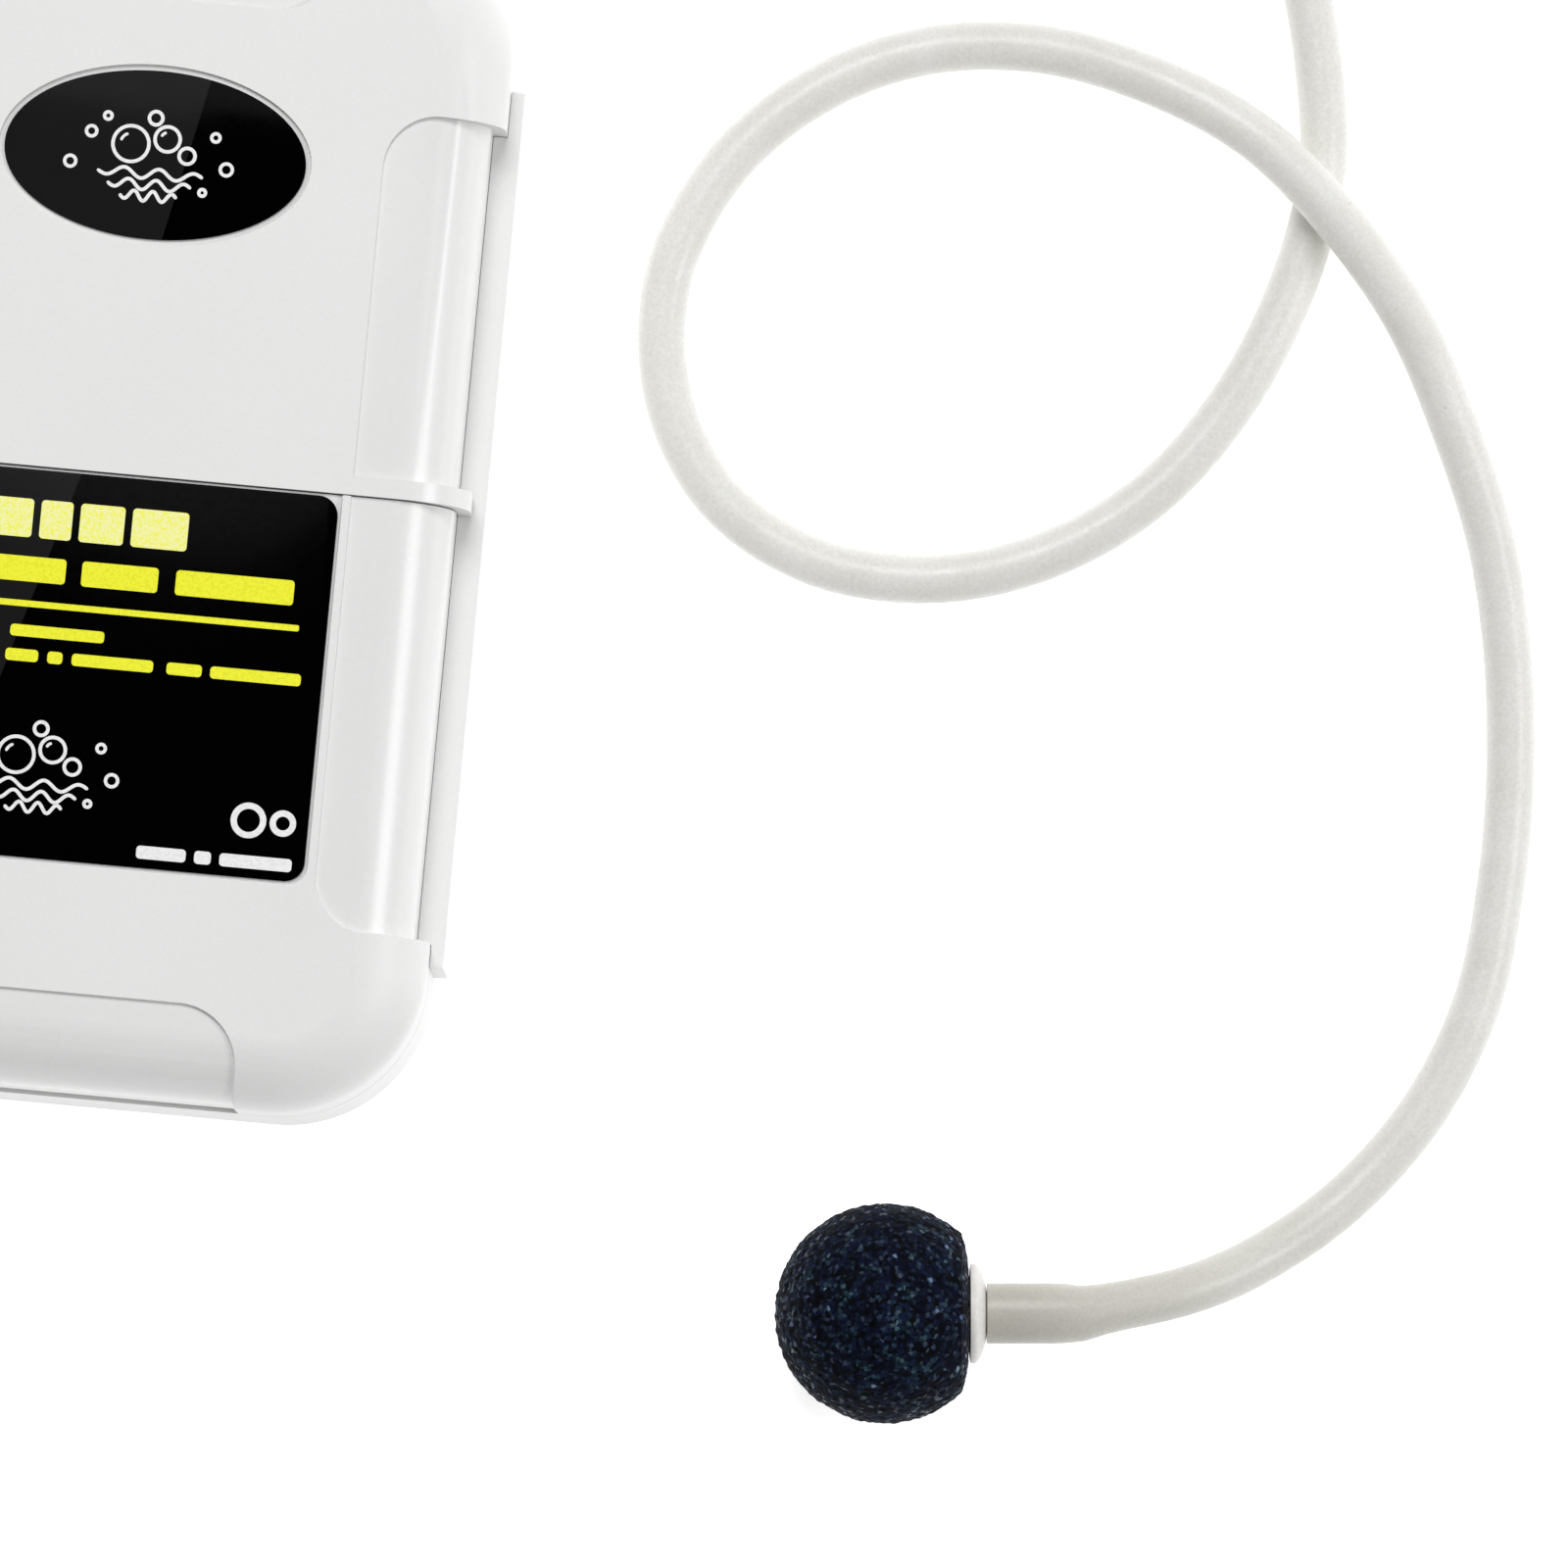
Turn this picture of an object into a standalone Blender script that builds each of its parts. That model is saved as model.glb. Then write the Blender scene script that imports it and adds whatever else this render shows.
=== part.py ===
"""Portable battery air pump, with its air hose and ball air stone.

The pump lies on its back. +X is its right, +Y runs to the outlet end and +Z comes out of its front face.
The origin is the centre of the flat back face. Every length below is in millimetres, and solid() scales
the finished shapes to metres.
"""

import math

import bmesh
import bpy
from mathutils import Matrix, Vector

MM = 0.001
GAP = 0.3
FAR = 100.0  # beyond every side of the case, for cutters

# Housing
HALF_WIDTH = 41.05
HALF_LENGTH = 72.25
DEPTH = 45.0
CORNER_RADIUS = 17.7
FRONT_RADIUS = 8.5
BACK_RADIUS = 5.0
WALL = 2.4
BAY_HALF_WIDTH = 37.6
BAY_HALF_LENGTH = 69.6
PARTING_Z = 26.0
SEAM_Y = 1.25
LIP_TOP_Y = 3.65
CORNER_FACETS = 7
FILLET_FACETS = 3

# Sunken grip panels that wrap over the front edges
PANEL_SIDE_DEPTH = 1.7
PANEL_END_DEPTH = 0.5
PANEL_FRONT_DEPTH = 0.6
SIDE_PANEL_INNER_X = 27.1
SIDE_PANEL_LOW_Y = -50.35
SIDE_PANEL_HIGH_Y = 47.35
SIDE_PANEL_RADIUS = 6.5
END_PANEL_HALF_WIDTH = 19.7
END_PANEL_INNER_Y = (-60.7, 58.4)
END_PANEL_RADIUS = 7.2

# Side rails of the rear case, and the track of the battery door
RAIL_HALF_WIDTH = 42.7
RAIL_HALF_LENGTH = 52.85
RAIL_LOW_Z = 8.0
RAIL_TOP_Z = 31.0
BEAD_Z = 28.4
BEAD_HEIGHT = 1.2
BEAD_PROUD = 0.9
BEAD_HIGH_Y = -3.0

# Labels
OVAL_CENTRE_Y = 39.65
OVAL_HALF = (18.0, 10.1)
OVAL_RIM = 0.7
LABEL_HALF_WIDTH = 25.7
LABEL_LOW_Y = -45.15
LABEL_HIGH_Y = 0.95
LABEL_RADIUS = 2.4
LABEL_BORDER = 0.35
LABEL_RECESS = 0.6
LABEL_TOP_Z = 44.9
LABEL_THICKNESS = 0.4

# Case screws, driven from the back: x, y and the top of the boss in the front cover
CASE_SCREWS = ((30.0, 60.7, 42.8), (34.5, 8.0, 40.0))
SCREW_RADIUS = 1.2
SCREW_HOLE = 1.5
SCREW_SEAT_Z = 3.7
SCREW_TIP_Z = 36.0
SCREW_WELL_RADIUS = 3.2
SCREW_WELL_DEPTH = 4.0
REAR_BOSS_RADIUS = 4.2
COVER_BOSS_RADIUS = 3.4
PILOT_TOP_Z = 38.0

# Battery bay
CELL_X = 17.0
CELL_Z = 19.6
CELL_RADIUS = 16.6
CELL_LENGTH = 61.0
NUB_LENGTH = 1.5
NUB_RADIUS = 4.7
CONTACT_Y = -0.8
CONTACT_THICKNESS = 0.5
BRIDGE_Y = -66.9
BULKHEAD_THICKNESS = 1.8
BULKHEAD_TOP_Z = 40.4
SPRING_LENGTH = 3.7
SPRING_TURNS = 2.5
SPRING_WIRE = 0.4

# Motor, crank and diaphragm, on an axis along X
MOTOR_Y = 21.0
MOTOR_Z = 19.0
MOTOR_RADIUS = 12.0
MOTOR_BACK_X = -22.0
MOTOR_FRONT_X = -2.0
BELL_THICKNESS = 2.3
TERMINAL_LENGTH = 3.5
SHAFT_RADIUS = 1.0
CRANK_THROW = 1.2
PIN_RADIUS = 1.5
COLUMN_X = 8.5
ROD_HALF_THICKNESS = 2.2
ROD_LENGTH = 14.0
WRIST_HOLE = 3.5
WRIST_PIN_RADIUS = 1.6
EAR_RADIUS = 2.6

# Pump head, stacked along +Y
HEAD_WALL_Y = (42.0, 44.4)
DIAPHRAGM_Y = (44.7, 46.1)
CHAMBER_Y = (46.4, 53.4)
COVER_Y = (53.7, 60.5)
HEAD_HALF = 12.0
HEAD_BOLT = 9.2
PORT_OFFSET = 4.5
OUTLET_Z = MOTOR_Z - PORT_OFFSET
SPIGOT_END_Y = 63.8

# Outlet nipple and switch, in the +Y end wall
NIPPLE_TIP_Y = 83.05
NIPPLE_SHANK = 3.9
SWITCH_X = -13.6
SWITCH_Z = 16.0
SWITCH_TRAVEL = 4.0
KNOB_PROUD = 2.4

# Air hose, and the stone on its end
HOSE_RADIUS = 3.0
HOSE_REST_Z = 3.05
HOSE_STEP = 11.5
HOSE_END_RUN = 3.0
CROSSING_Z = 9.5
STONE_CENTRE = (99.2, -88.55, 13.45)
STONE_RADIUS = 13.4
STONE_FLAT = 10.2
STONE_FACE_RADIUS = 8.0
STONE_SHOULDER = 9.3
STONE_TURN = math.radians(5.27)
STEM_COLLAR_RADIUS = 6.1
STEM_TIP = 23.5

# The hose's route: out of the nipple, round above the pump, down and once round in a loop that it
# crosses on a low hump, and back to the stone.
HOSE_ROUTE = (
    (8.5, NIPPLE_TIP_Y + GAP, OUTLET_Z),
    (8.5, 91.05, 13.9),
    (9.3, 100.55, 11.2),
    (13.0, 112.05, 7.4),
    (20.5, 123.05, 4.4),
    (32.0, 132.55, 3.2),
    (46.0, 138.55, HOSE_REST_Z),
    (62.0, 141.05, HOSE_REST_Z),
    (78.0, 140.05, HOSE_REST_Z),
    (93.5, 134.55, HOSE_REST_Z),
    (107.5, 125.05, HOSE_REST_Z),
    (119.0, 112.05, HOSE_REST_Z),
    (128.0, 97.05, HOSE_REST_Z),
    (134.2, 83.05, HOSE_REST_Z),
    (138.1, 69.35, HOSE_REST_Z),
    (139.8, 55.25, HOSE_REST_Z),
    (137.2, 40.65, HOSE_REST_Z),
    (131.3, 26.35, HOSE_REST_Z),
    (122.2, 14.05, HOSE_REST_Z),
    (109.9, 5.45, HOSE_REST_Z),
    (96.1, 1.45, HOSE_REST_Z),
    (81.8, 2.55, HOSE_REST_Z),
    (69.6, 9.45, HOSE_REST_Z),
    (62.4, 21.65, HOSE_REST_Z),
    (61.4, 35.95, HOSE_REST_Z),
    (66.9, 49.55, HOSE_REST_Z),
    (77.0, 59.85, HOSE_REST_Z),
    (89.8, 66.05, 3.3),
    (104.1, 67.45, 4.8),
    (118.2, 64.45, 7.3),
    (131.2, 58.55, 9.2),
    (142.0, 49.35, CROSSING_Z),
    (151.6, 38.05, 8.6),
    (158.6, 25.45, 6.6),
    (164.2, 12.45, 4.6),
    (167.6, -1.45, 3.4),
    (169.2, -15.75, HOSE_REST_Z),
    (169.2, -30.15, HOSE_REST_Z),
    (167.5, -44.35, HOSE_REST_Z),
    (162.2, -57.75, HOSE_REST_Z),
    (154.0, -68.95, 3.5),
    (144.5, -77.15, 6.2),
    (135.3, -82.35, 10.6),
)

FINISHES = {
    "housing": ((0.79, 0.79, 0.79), 0.5, 0.0),
    "label": ((0.004, 0.004, 0.005), 0.1, 0.0),
    "dark_plastic": ((0.03, 0.03, 0.035), 0.4, 0.0),
    "nylon": ((0.75, 0.74, 0.70), 0.4, 0.0),
    "steel": ((0.62, 0.62, 0.63), 0.3, 1.0),
    "brass": ((0.78, 0.60, 0.28), 0.3, 1.0),
    "copper": ((0.72, 0.36, 0.22), 0.35, 1.0),
    "battery": ((0.10, 0.16, 0.30), 0.3, 0.6),
    "ferrite": ((0.05, 0.05, 0.055), 0.6, 0.0),
    "rubber": ((0.02, 0.02, 0.022), 0.8, 0.0),
    "foam": ((0.10, 0.10, 0.11), 0.95, 0.0),
    "silicone": ((0.80, 0.80, 0.77), 0.35, 0.0),
    "red_wire": ((0.55, 0.02, 0.02), 0.45, 0.0),
    "black_wire": ((0.02, 0.02, 0.02), 0.45, 0.0),
    "stone": ((0.010, 0.022, 0.050), 0.9, 0.0),
}


# ---------------------------------------------------------------- tools


def new_collection(name):
    collection = bpy.data.collections.new(name)
    bpy.context.scene.collection.children.link(collection)
    return collection


def give_material(obj, finish):
    colour, roughness, metallic = FINISHES[finish]
    material = bpy.data.materials.new(obj.name + "_material")
    material.use_nodes = True
    shader = material.node_tree.nodes["Principled BSDF"]
    shader.inputs["Base Color"].default_value = (*colour, 1.0)
    shader.inputs["Roughness"].default_value = roughness
    shader.inputs["Metallic"].default_value = metallic
    obj.data.materials.append(material)


def place(obj, finish):
    """Files an object as a part with a finish, or as a hidden cutter without one."""
    if finish is None:
        CUTTERS.objects.link(obj)
        obj.hide_render = True
        obj.display_type = "WIRE"
    else:
        PUMP.objects.link(obj)
        give_material(obj, finish)
    return obj


def solid(name, bm, finish):
    """An object in metres from a closed bmesh in millimetres."""
    bmesh.ops.scale(bm, vec=(MM, MM, MM), verts=bm.verts)
    bmesh.ops.recalc_face_normals(bm, faces=bm.faces)
    mesh = bpy.data.meshes.new(name)
    bm.to_mesh(mesh)
    bm.free()
    return place(bpy.data.objects.new(name, mesh), finish)


def box_mesh(low, high):
    bm = bmesh.new()
    bmesh.ops.create_cube(bm, size=1.0)
    size = [b - a for a, b in zip(low, high)]
    centre = [(a + b) / 2 for a, b in zip(low, high)]
    bmesh.ops.scale(bm, vec=size, verts=bm.verts)
    bmesh.ops.translate(bm, vec=centre, verts=bm.verts)
    return bm


def box(name, low, high, finish=None):
    return solid(name, box_mesh(low, high), finish)


def edges_along(bm, axis):
    return [e for e in bm.edges if abs((e.verts[0].co - e.verts[1].co).normalized()[axis]) > 0.99]


def rim_edges(bm, height):
    return [e for e in bm.edges if all(abs(v.co.z - height) < 1e-4 for v in e.verts)]


def round_edges(bm, edges, radius, facets):
    bmesh.ops.bevel(bm, geom=edges, offset=radius, segments=facets, profile=0.5, affect="EDGES")


def rounded_block(name, low, high, corner, front=0.0, back=0.0, finish=None):
    """A box with round upright edges, and round rims at its front and its back."""
    bm = box_mesh(low, high)
    round_edges(bm, edges_along(bm, 2), corner, CORNER_FACETS)
    if front:
        round_edges(bm, rim_edges(bm, high[2]), front, FILLET_FACETS)
    if back:
        round_edges(bm, rim_edges(bm, low[2]), back, FILLET_FACETS)
    return solid(name, bm, finish)


def round_bar(name, start, end, radius, finish=None, sides=24, end_radius=None, squash=1.0):
    """A cylinder, cone or ellipse between two points."""
    bm = bmesh.new()
    start, end = Vector(start), Vector(end)
    last = radius if end_radius is None else end_radius
    bmesh.ops.create_cone(
        bm, cap_ends=True, segments=sides, radius1=radius, radius2=last, depth=(end - start).length
    )
    bmesh.ops.scale(bm, vec=(1.0, squash, 1.0), verts=bm.verts)
    turn = Vector((0, 0, 1)).rotation_difference(end - start).to_matrix().to_4x4()
    bmesh.ops.transform(bm, matrix=Matrix.Translation((start + end) / 2) @ turn, verts=bm.verts)
    return solid(name, bm, finish)


def turned(name, profile, origin, axis, finish=None, steps=24, hollow=False):
    """Turns (radius, height) points, listed down the outer side, about an axis through origin.

    A hollow profile closes on itself: its last points run back up the bore."""
    mesh = bpy.data.meshes.new(name)
    edges = [(i, i + 1) for i in range(len(profile) - 1)]
    if hollow:
        edges.append((len(profile) - 1, 0))
    mesh.from_pydata([(r * MM, 0.0, h * MM) for r, h in profile], edges, [])
    obj = place(bpy.data.objects.new(name, mesh), finish)
    screw = obj.modifiers.new("turn", "SCREW")
    screw.steps = steps
    screw.render_steps = steps
    screw.use_merge_vertices = True
    screw.merge_threshold = 0.00001
    obj.location = Vector(origin) * MM
    obj.rotation_mode = "QUATERNION"
    obj.rotation_quaternion = Vector((0, 0, 1)).rotation_difference(Vector(axis))
    return obj


def tube(name, points, radius, finish, resolution):
    """A closed round tube along points that are already in millimetres."""
    curve = bpy.data.curves.new(name, "CURVE")
    curve.dimensions = "3D"
    curve.bevel_depth = radius * MM
    curve.bevel_resolution = resolution
    curve.use_fill_caps = True
    spline = curve.splines.new("POLY")
    spline.points.add(len(points) - 1)
    for target, point in zip(spline.points, points):
        target.co = (*(Vector(point) * MM), 1.0)
    return place(bpy.data.objects.new(name, curve), finish)


def smooth_route(route, step):
    """Even points along a Catmull-Rom curve through the route's points."""
    knots = [Vector(p) for p in route]
    knots = [2 * knots[0] - knots[1], *knots, 2 * knots[-1] - knots[-2]]
    fine = []
    for a, b, c, d in zip(knots, knots[1:], knots[2:], knots[3:]):
        for i in range(24):
            t = i / 24
            bend = (2 * a - 5 * b + 4 * c - d) * t * t + (3 * b - 3 * c + d - a) * t ** 3
            fine.append(0.5 * (2 * b + (c - a) * t + bend))
    fine.append(knots[-2])
    lengths = [0.0]
    for p, q in zip(fine, fine[1:]):
        lengths.append(lengths[-1] + (q - p).length)
    count = max(2, round(lengths[-1] / step))
    points = []
    index = 0
    for k in range(count + 1):
        target = lengths[-1] * k / count
        while index < len(fine) - 2 and lengths[index + 1] < target:
            index += 1
        part = (target - lengths[index]) / (lengths[index + 1] - lengths[index])
        points.append(fine[index].lerp(fine[index + 1], part))
    return points


def combine(obj, other, operation):
    modifier = obj.modifiers.new(operation.lower(), "BOOLEAN")
    modifier.operation = operation
    modifier.object = other
    modifier.solver = "EXACT"


def cut(obj, *cutters):
    for cutter in cutters:
        combine(obj, cutter, "DIFFERENCE")


def join(obj, *others):
    for other in others:
        combine(obj, other, "UNION")


def mirrored(obj, x=False, y=False):
    """Adds the mirror image of an object that stays clear of the plane."""
    modifier = obj.modifiers.new("mirror", "MIRROR")
    modifier.use_axis = (x, y, False)
    modifier.use_mirror_merge = False
    return obj


def on_axis(name, place_at, pieces):
    """Parents moving pieces to an empty on their joint's axis."""
    empty = bpy.data.objects.new(name, None)
    PUMP.objects.link(empty)
    empty.location = Vector(place_at) * MM
    for piece in pieces:
        piece.parent = empty
        piece.matrix_parent_inverse = Matrix.Translation(-empty.location)


# ---------------------------------------------------------------- housing


def housing_block(name):
    return rounded_block(
        name,
        (-HALF_WIDTH, -HALF_LENGTH, 0.0),
        (HALF_WIDTH, HALF_LENGTH, DEPTH),
        CORNER_RADIUS,
        FRONT_RADIUS,
        BACK_RADIUS,
        "housing",
    )


def bay_cutter():
    inner_corner = CORNER_RADIUS - (HALF_WIDTH - BAY_HALF_WIDTH)
    return rounded_block(
        "bay_cutter",
        (-BAY_HALF_WIDTH, -BAY_HALF_LENGTH, WALL),
        (BAY_HALF_WIDTH, BAY_HALF_LENGTH, DEPTH - WALL),
        inner_corner,
        FRONT_RADIUS - WALL,
        BACK_RADIUS - WALL,
    )


def panel_cutters():
    """Cutters for the sunken panels: what lies outside a slightly smaller housing, within each panel."""
    floor = rounded_block(
        "panel_floor",
        (PANEL_SIDE_DEPTH - HALF_WIDTH, PANEL_END_DEPTH - HALF_LENGTH, 0.0),
        (HALF_WIDTH - PANEL_SIDE_DEPTH, HALF_LENGTH - PANEL_END_DEPTH, DEPTH - PANEL_FRONT_DEPTH),
        CORNER_RADIUS - PANEL_SIDE_DEPTH,
        FRONT_RADIUS - PANEL_FRONT_DEPTH,
    )
    outside = HALF_WIDTH + 2 * SIDE_PANEL_RADIUS
    low_z = PARTING_Z - 1.0
    high_z = DEPTH + 5.0
    side_low = (SIDE_PANEL_INNER_X, SIDE_PANEL_LOW_Y, low_z)
    side_high = (outside, SIDE_PANEL_HIGH_Y, high_z)
    door_side = mirrored(rounded_block("door_side_panel", side_low, side_high, SIDE_PANEL_RADIUS), x=True)
    cover_side = mirrored(rounded_block("cover_side_panel", side_low, side_high, SIDE_PANEL_RADIUS), x=True)
    lip = box("lip_keeper", (-FAR, -FAR, 0.0), (FAR, LIP_TOP_Y, FAR))
    cut(door_side, floor)
    cut(cover_side, floor, lip)
    ends = []
    outer_y = HALF_LENGTH + 2 * END_PANEL_RADIUS
    for name, y_span in (
        ("door_end_panel", (-outer_y, END_PANEL_INNER_Y[0])),
        ("cover_end_panel", (END_PANEL_INNER_Y[1], outer_y)),
    ):
        end_low = (-END_PANEL_HALF_WIDTH, y_span[0], low_z)
        end_high = (END_PANEL_HALF_WIDTH, y_span[1], high_z)
        end = rounded_block(name, end_low, end_high, END_PANEL_RADIUS)
        cut(end, floor)
        ends.append(end)
    return (door_side, ends[0]), (cover_side, ends[1])


def screw_places():
    return [(side * x, y, top) for x, y, top in CASE_SCREWS for side in (-1, 1)]


def make_rear_case(bay):
    case = housing_block("rear_case")
    cut(case, bay, box("above_parting", (-FAR, -FAR, PARTING_Z), (FAR, FAR, FAR)))

    rail_inner = HALF_WIDTH - PANEL_SIDE_DEPTH + GAP
    root_z = PARTING_Z - 1.0
    wall_low_y = SIDE_PANEL_LOW_Y + GAP
    wall_high_y = SIDE_PANEL_HIGH_Y - GAP
    rail_boxes = {
        "rail_foot": (
            (BAY_HALF_WIDTH + 1.4, -RAIL_HALF_LENGTH, RAIL_LOW_Z),
            (RAIL_HALF_WIDTH, RAIL_HALF_LENGTH, PARTING_Z),
        ),
        "rail_wall": (
            (rail_inner, wall_low_y, root_z),
            (RAIL_HALF_WIDTH, wall_high_y, RAIL_TOP_Z),
        ),
        "rail_ends": (
            (HALF_WIDTH + GAP, -RAIL_HALF_LENGTH, root_z),
            (RAIL_HALF_WIDTH, RAIL_HALF_LENGTH, RAIL_TOP_Z),
        ),
        "rail_bead": (
            (rail_inner - BEAD_PROUD, wall_low_y + 1.0, BEAD_Z - BEAD_HEIGHT / 2),
            (rail_inner + 1.0, BEAD_HIGH_Y, BEAD_Z + BEAD_HEIGHT / 2),
        ),
    }
    for name, (low, high) in rail_boxes.items():
        join(case, mirrored(box(name, low, high), x=True))

    for i, (x, y, _) in enumerate(screw_places()):
        join(case, round_bar(f"rear_boss_{i}", (x, y, 1.0), (x, y, PARTING_Z - GAP), REAR_BOSS_RADIUS))
    for i, (x, y, _) in enumerate(screw_places()):
        cut(
            case,
            round_bar(f"screw_well_{i}", (x, y, -1.0), (x, y, SCREW_WELL_DEPTH), SCREW_WELL_RADIUS),
            round_bar(f"screw_bore_{i}", (x, y, 3.0), (x, y, PARTING_Z + 1.0), SCREW_HOLE, sides=16),
        )
    join(
        case,
        box("cell_rib", (-0.7, -64.0, WALL - 1.0), (0.7, -3.0, 12.0)),
        box("contact_rest", (-26.0, -BAY_HALF_LENGTH - 1.0, WALL - 1.0), (26.0, BRIDGE_Y - GAP, 24.0)),
    )
    nipple_from = (COLUMN_X, BAY_HALF_LENGTH - 10.0, OUTLET_Z)
    nipple_to = (COLUMN_X, HALF_LENGTH + 10.0, OUTLET_Z)
    window_low = (SWITCH_X - 4.4, BAY_HALF_LENGTH - 3.0, SWITCH_Z - 2.0)
    window_high = (SWITCH_X + 4.4, HALF_LENGTH + 3.0, SWITCH_Z + 2.0)
    cut(
        case,
        round_bar("nipple_hole", nipple_from, nipple_to, NIPPLE_SHANK + GAP),
        box("switch_window", window_low, window_high),
    )


def make_front_cover(bay, panels):
    cover = housing_block("front_cover")
    below = box("cover_below", (-FAR, -FAR, -FAR), (FAR, FAR, PARTING_Z + GAP))
    beyond = box("cover_beyond", (-FAR, -FAR, -FAR), (FAR, SEAM_Y + GAP, FAR))
    relief_low = (HALF_WIDTH - PANEL_SIDE_DEPTH, 0.0, PARTING_Z - 1.0)
    relief_high = (HALF_WIDTH + 5.0, LIP_TOP_Y + 2.0, RAIL_TOP_Z + GAP)
    lip_relief = mirrored(box("lip_relief", relief_low, relief_high), x=True)
    cut(cover, bay, below, beyond, *panels, lip_relief)
    for i, (x, y, top) in enumerate(screw_places()):
        join(cover, round_bar(f"cover_boss_{i}", (x, y, PARTING_Z + GAP), (x, y, top), COVER_BOSS_RADIUS))
        pilot_low, pilot_high = (x, y, PARTING_Z - 1.0), (x, y, PILOT_TOP_Z)
        cut(cover, round_bar(f"cover_pilot_{i}", pilot_low, pilot_high, SCREW_HOLE, sides=16))
    half_x, half_y = (half + OVAL_RIM for half in OVAL_HALF)
    recess = round_bar(
        "oval_recess",
        (0.0, OVAL_CENTRE_Y, DEPTH - LABEL_RECESS),
        (0.0, OVAL_CENTRE_Y, DEPTH + 2.0),
        half_x,
        sides=40,
        squash=half_y / half_x,
    )
    cut(cover, recess)


def make_battery_door(bay, panels):
    door = housing_block("battery_door")
    below = box("door_below", (-FAR, -FAR, -FAR), (FAR, FAR, PARTING_Z + GAP))
    beyond = box("door_beyond", (-FAR, SEAM_Y, -FAR), (FAR, FAR, FAR))
    cut(door, bay, below, beyond, *panels)
    recess = rounded_block(
        "label_recess",
        (-LABEL_HALF_WIDTH - LABEL_BORDER, LABEL_LOW_Y - LABEL_BORDER, DEPTH - LABEL_RECESS),
        (LABEL_HALF_WIDTH + LABEL_BORDER, SEAM_Y + 6.0, DEPTH + 2.0),
        LABEL_RADIUS,
    )
    groove_x = HALF_WIDTH - PANEL_SIDE_DEPTH - BEAD_PROUD
    groove = box(
        "door_groove",
        (groove_x, SIDE_PANEL_LOW_Y + 0.9, BEAD_Z - BEAD_HEIGHT / 2 - GAP),
        (FAR, SEAM_Y + 2.0, BEAD_Z + BEAD_HEIGHT / 2 + GAP),
    )
    cut(door, recess, mirrored(groove, x=True))
    under = DEPTH - WALL
    tongue_low_z = under - 1.6
    join(
        door,
        box("tongue_root", (-30.0, SEAM_Y - 5.0, tongue_low_z), (30.0, SEAM_Y - GAP, under + 0.5)),
        box("tongue", (-30.0, SEAM_Y - 4.0, tongue_low_z), (30.0, LIP_TOP_Y + 0.4, under - GAP)),
    )
    return door


def make_labels():
    low_z = LABEL_TOP_Z - LABEL_THICKNESS
    round_bar(
        "oval_label",
        (0.0, OVAL_CENTRE_Y, low_z),
        (0.0, OVAL_CENTRE_Y, LABEL_TOP_Z),
        OVAL_HALF[0],
        "label",
        sides=40,
        squash=OVAL_HALF[1] / OVAL_HALF[0],
    )
    return rounded_block(
        "door_label",
        (-LABEL_HALF_WIDTH, LABEL_LOW_Y, low_z),
        (LABEL_HALF_WIDTH, LABEL_HIGH_Y, LABEL_TOP_Z),
        LABEL_RADIUS,
        finish="label",
    )


def screw(name, seat, tip, head_radius, head_height, radius=SCREW_RADIUS):
    """A pan-head screw. seat is under its head and tip is its pointed end."""
    seat, tip = Vector(seat), Vector(tip)
    length = (tip - seat).length
    profile = (
        (0.0, head_height),
        (head_radius * 0.8, head_height),
        (head_radius, head_height * 0.55),
        (head_radius, 0.0),
        (radius, 0.0),
        (radius, -length + 1.5),
        (0.0, -length),
    )
    obj = turned(name, profile, seat, seat - tip, "steel", steps=12)
    direction = (seat - tip).normalized()
    top = seat + direction * head_height
    turn = Vector((0, 0, 1)).rotation_difference(direction).to_matrix().to_4x4()
    long, narrow, depth = head_radius * 0.65, 0.3, head_height * 0.4
    for i, half in enumerate(((long, narrow, depth), (narrow, long, depth * 1.2))):
        bm = box_mesh((-half[0], -half[1], -half[2]), (half[0], half[1], 1.0))
        bmesh.ops.transform(bm, matrix=Matrix.Translation(top) @ turn, verts=bm.verts)
        cut(obj, solid(f"{name}_slot_{i}", bm, None))
    return obj


def make_case_screws():
    for i, (x, y, _) in enumerate(screw_places()):
        screw(f"case_screw_{i + 1}", (x, y, SCREW_SEAT_Z), (x, y, SCREW_TIP_Z), 2.7, 2.2)


# ---------------------------------------------------------------- battery bay


def make_cell(name, x, positive_y, direction):
    """A D cell. Its nub's tip is at positive_y, and direction (+1 or -1) is the way the nub points."""
    body_top = -NUB_LENGTH
    profile = (
        (0.0, 0.0),
        (NUB_RADIUS, 0.0),
        (NUB_RADIUS, body_top),
        (CELL_RADIUS - 0.8, body_top),
        (CELL_RADIUS, body_top - 0.8),
        (CELL_RADIUS, 0.8 - CELL_LENGTH),
        (CELL_RADIUS - 0.8, -CELL_LENGTH),
        (0.0, -CELL_LENGTH),
    )
    turned(name, profile, (x, positive_y, CELL_Z), (0, direction, 0), "battery", steps=26)


def make_spring(name, x, low_y):
    """A conical contact spring along Y, wide at the contact plate and narrow at the cell."""
    count = round(SPRING_TURNS * 10)
    rise = SPRING_LENGTH - 2 * SPRING_WIRE
    points = []
    for i in range(count + 1):
        t = i / count
        angle = 2 * math.pi * SPRING_TURNS * t
        radius = 6.5 - 2.0 * t
        y = low_y + SPRING_WIRE + rise * t
        points.append((x + radius * math.cos(angle), y, CELL_Z + radius * math.sin(angle)))
    tube(name, points, SPRING_WIRE, "steel", 1)


def make_contact(name, x):
    plate = box(
        name, (x - 5.0, CONTACT_Y, 12.0), (x + 5.0, CONTACT_Y + CONTACT_THICKNESS, 33.0), "steel"
    )
    join(plate, box(name + "_tab", (x - 2.0, CONTACT_Y, 32.4), (x + 2.0, 5.0, 33.0)))


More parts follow.
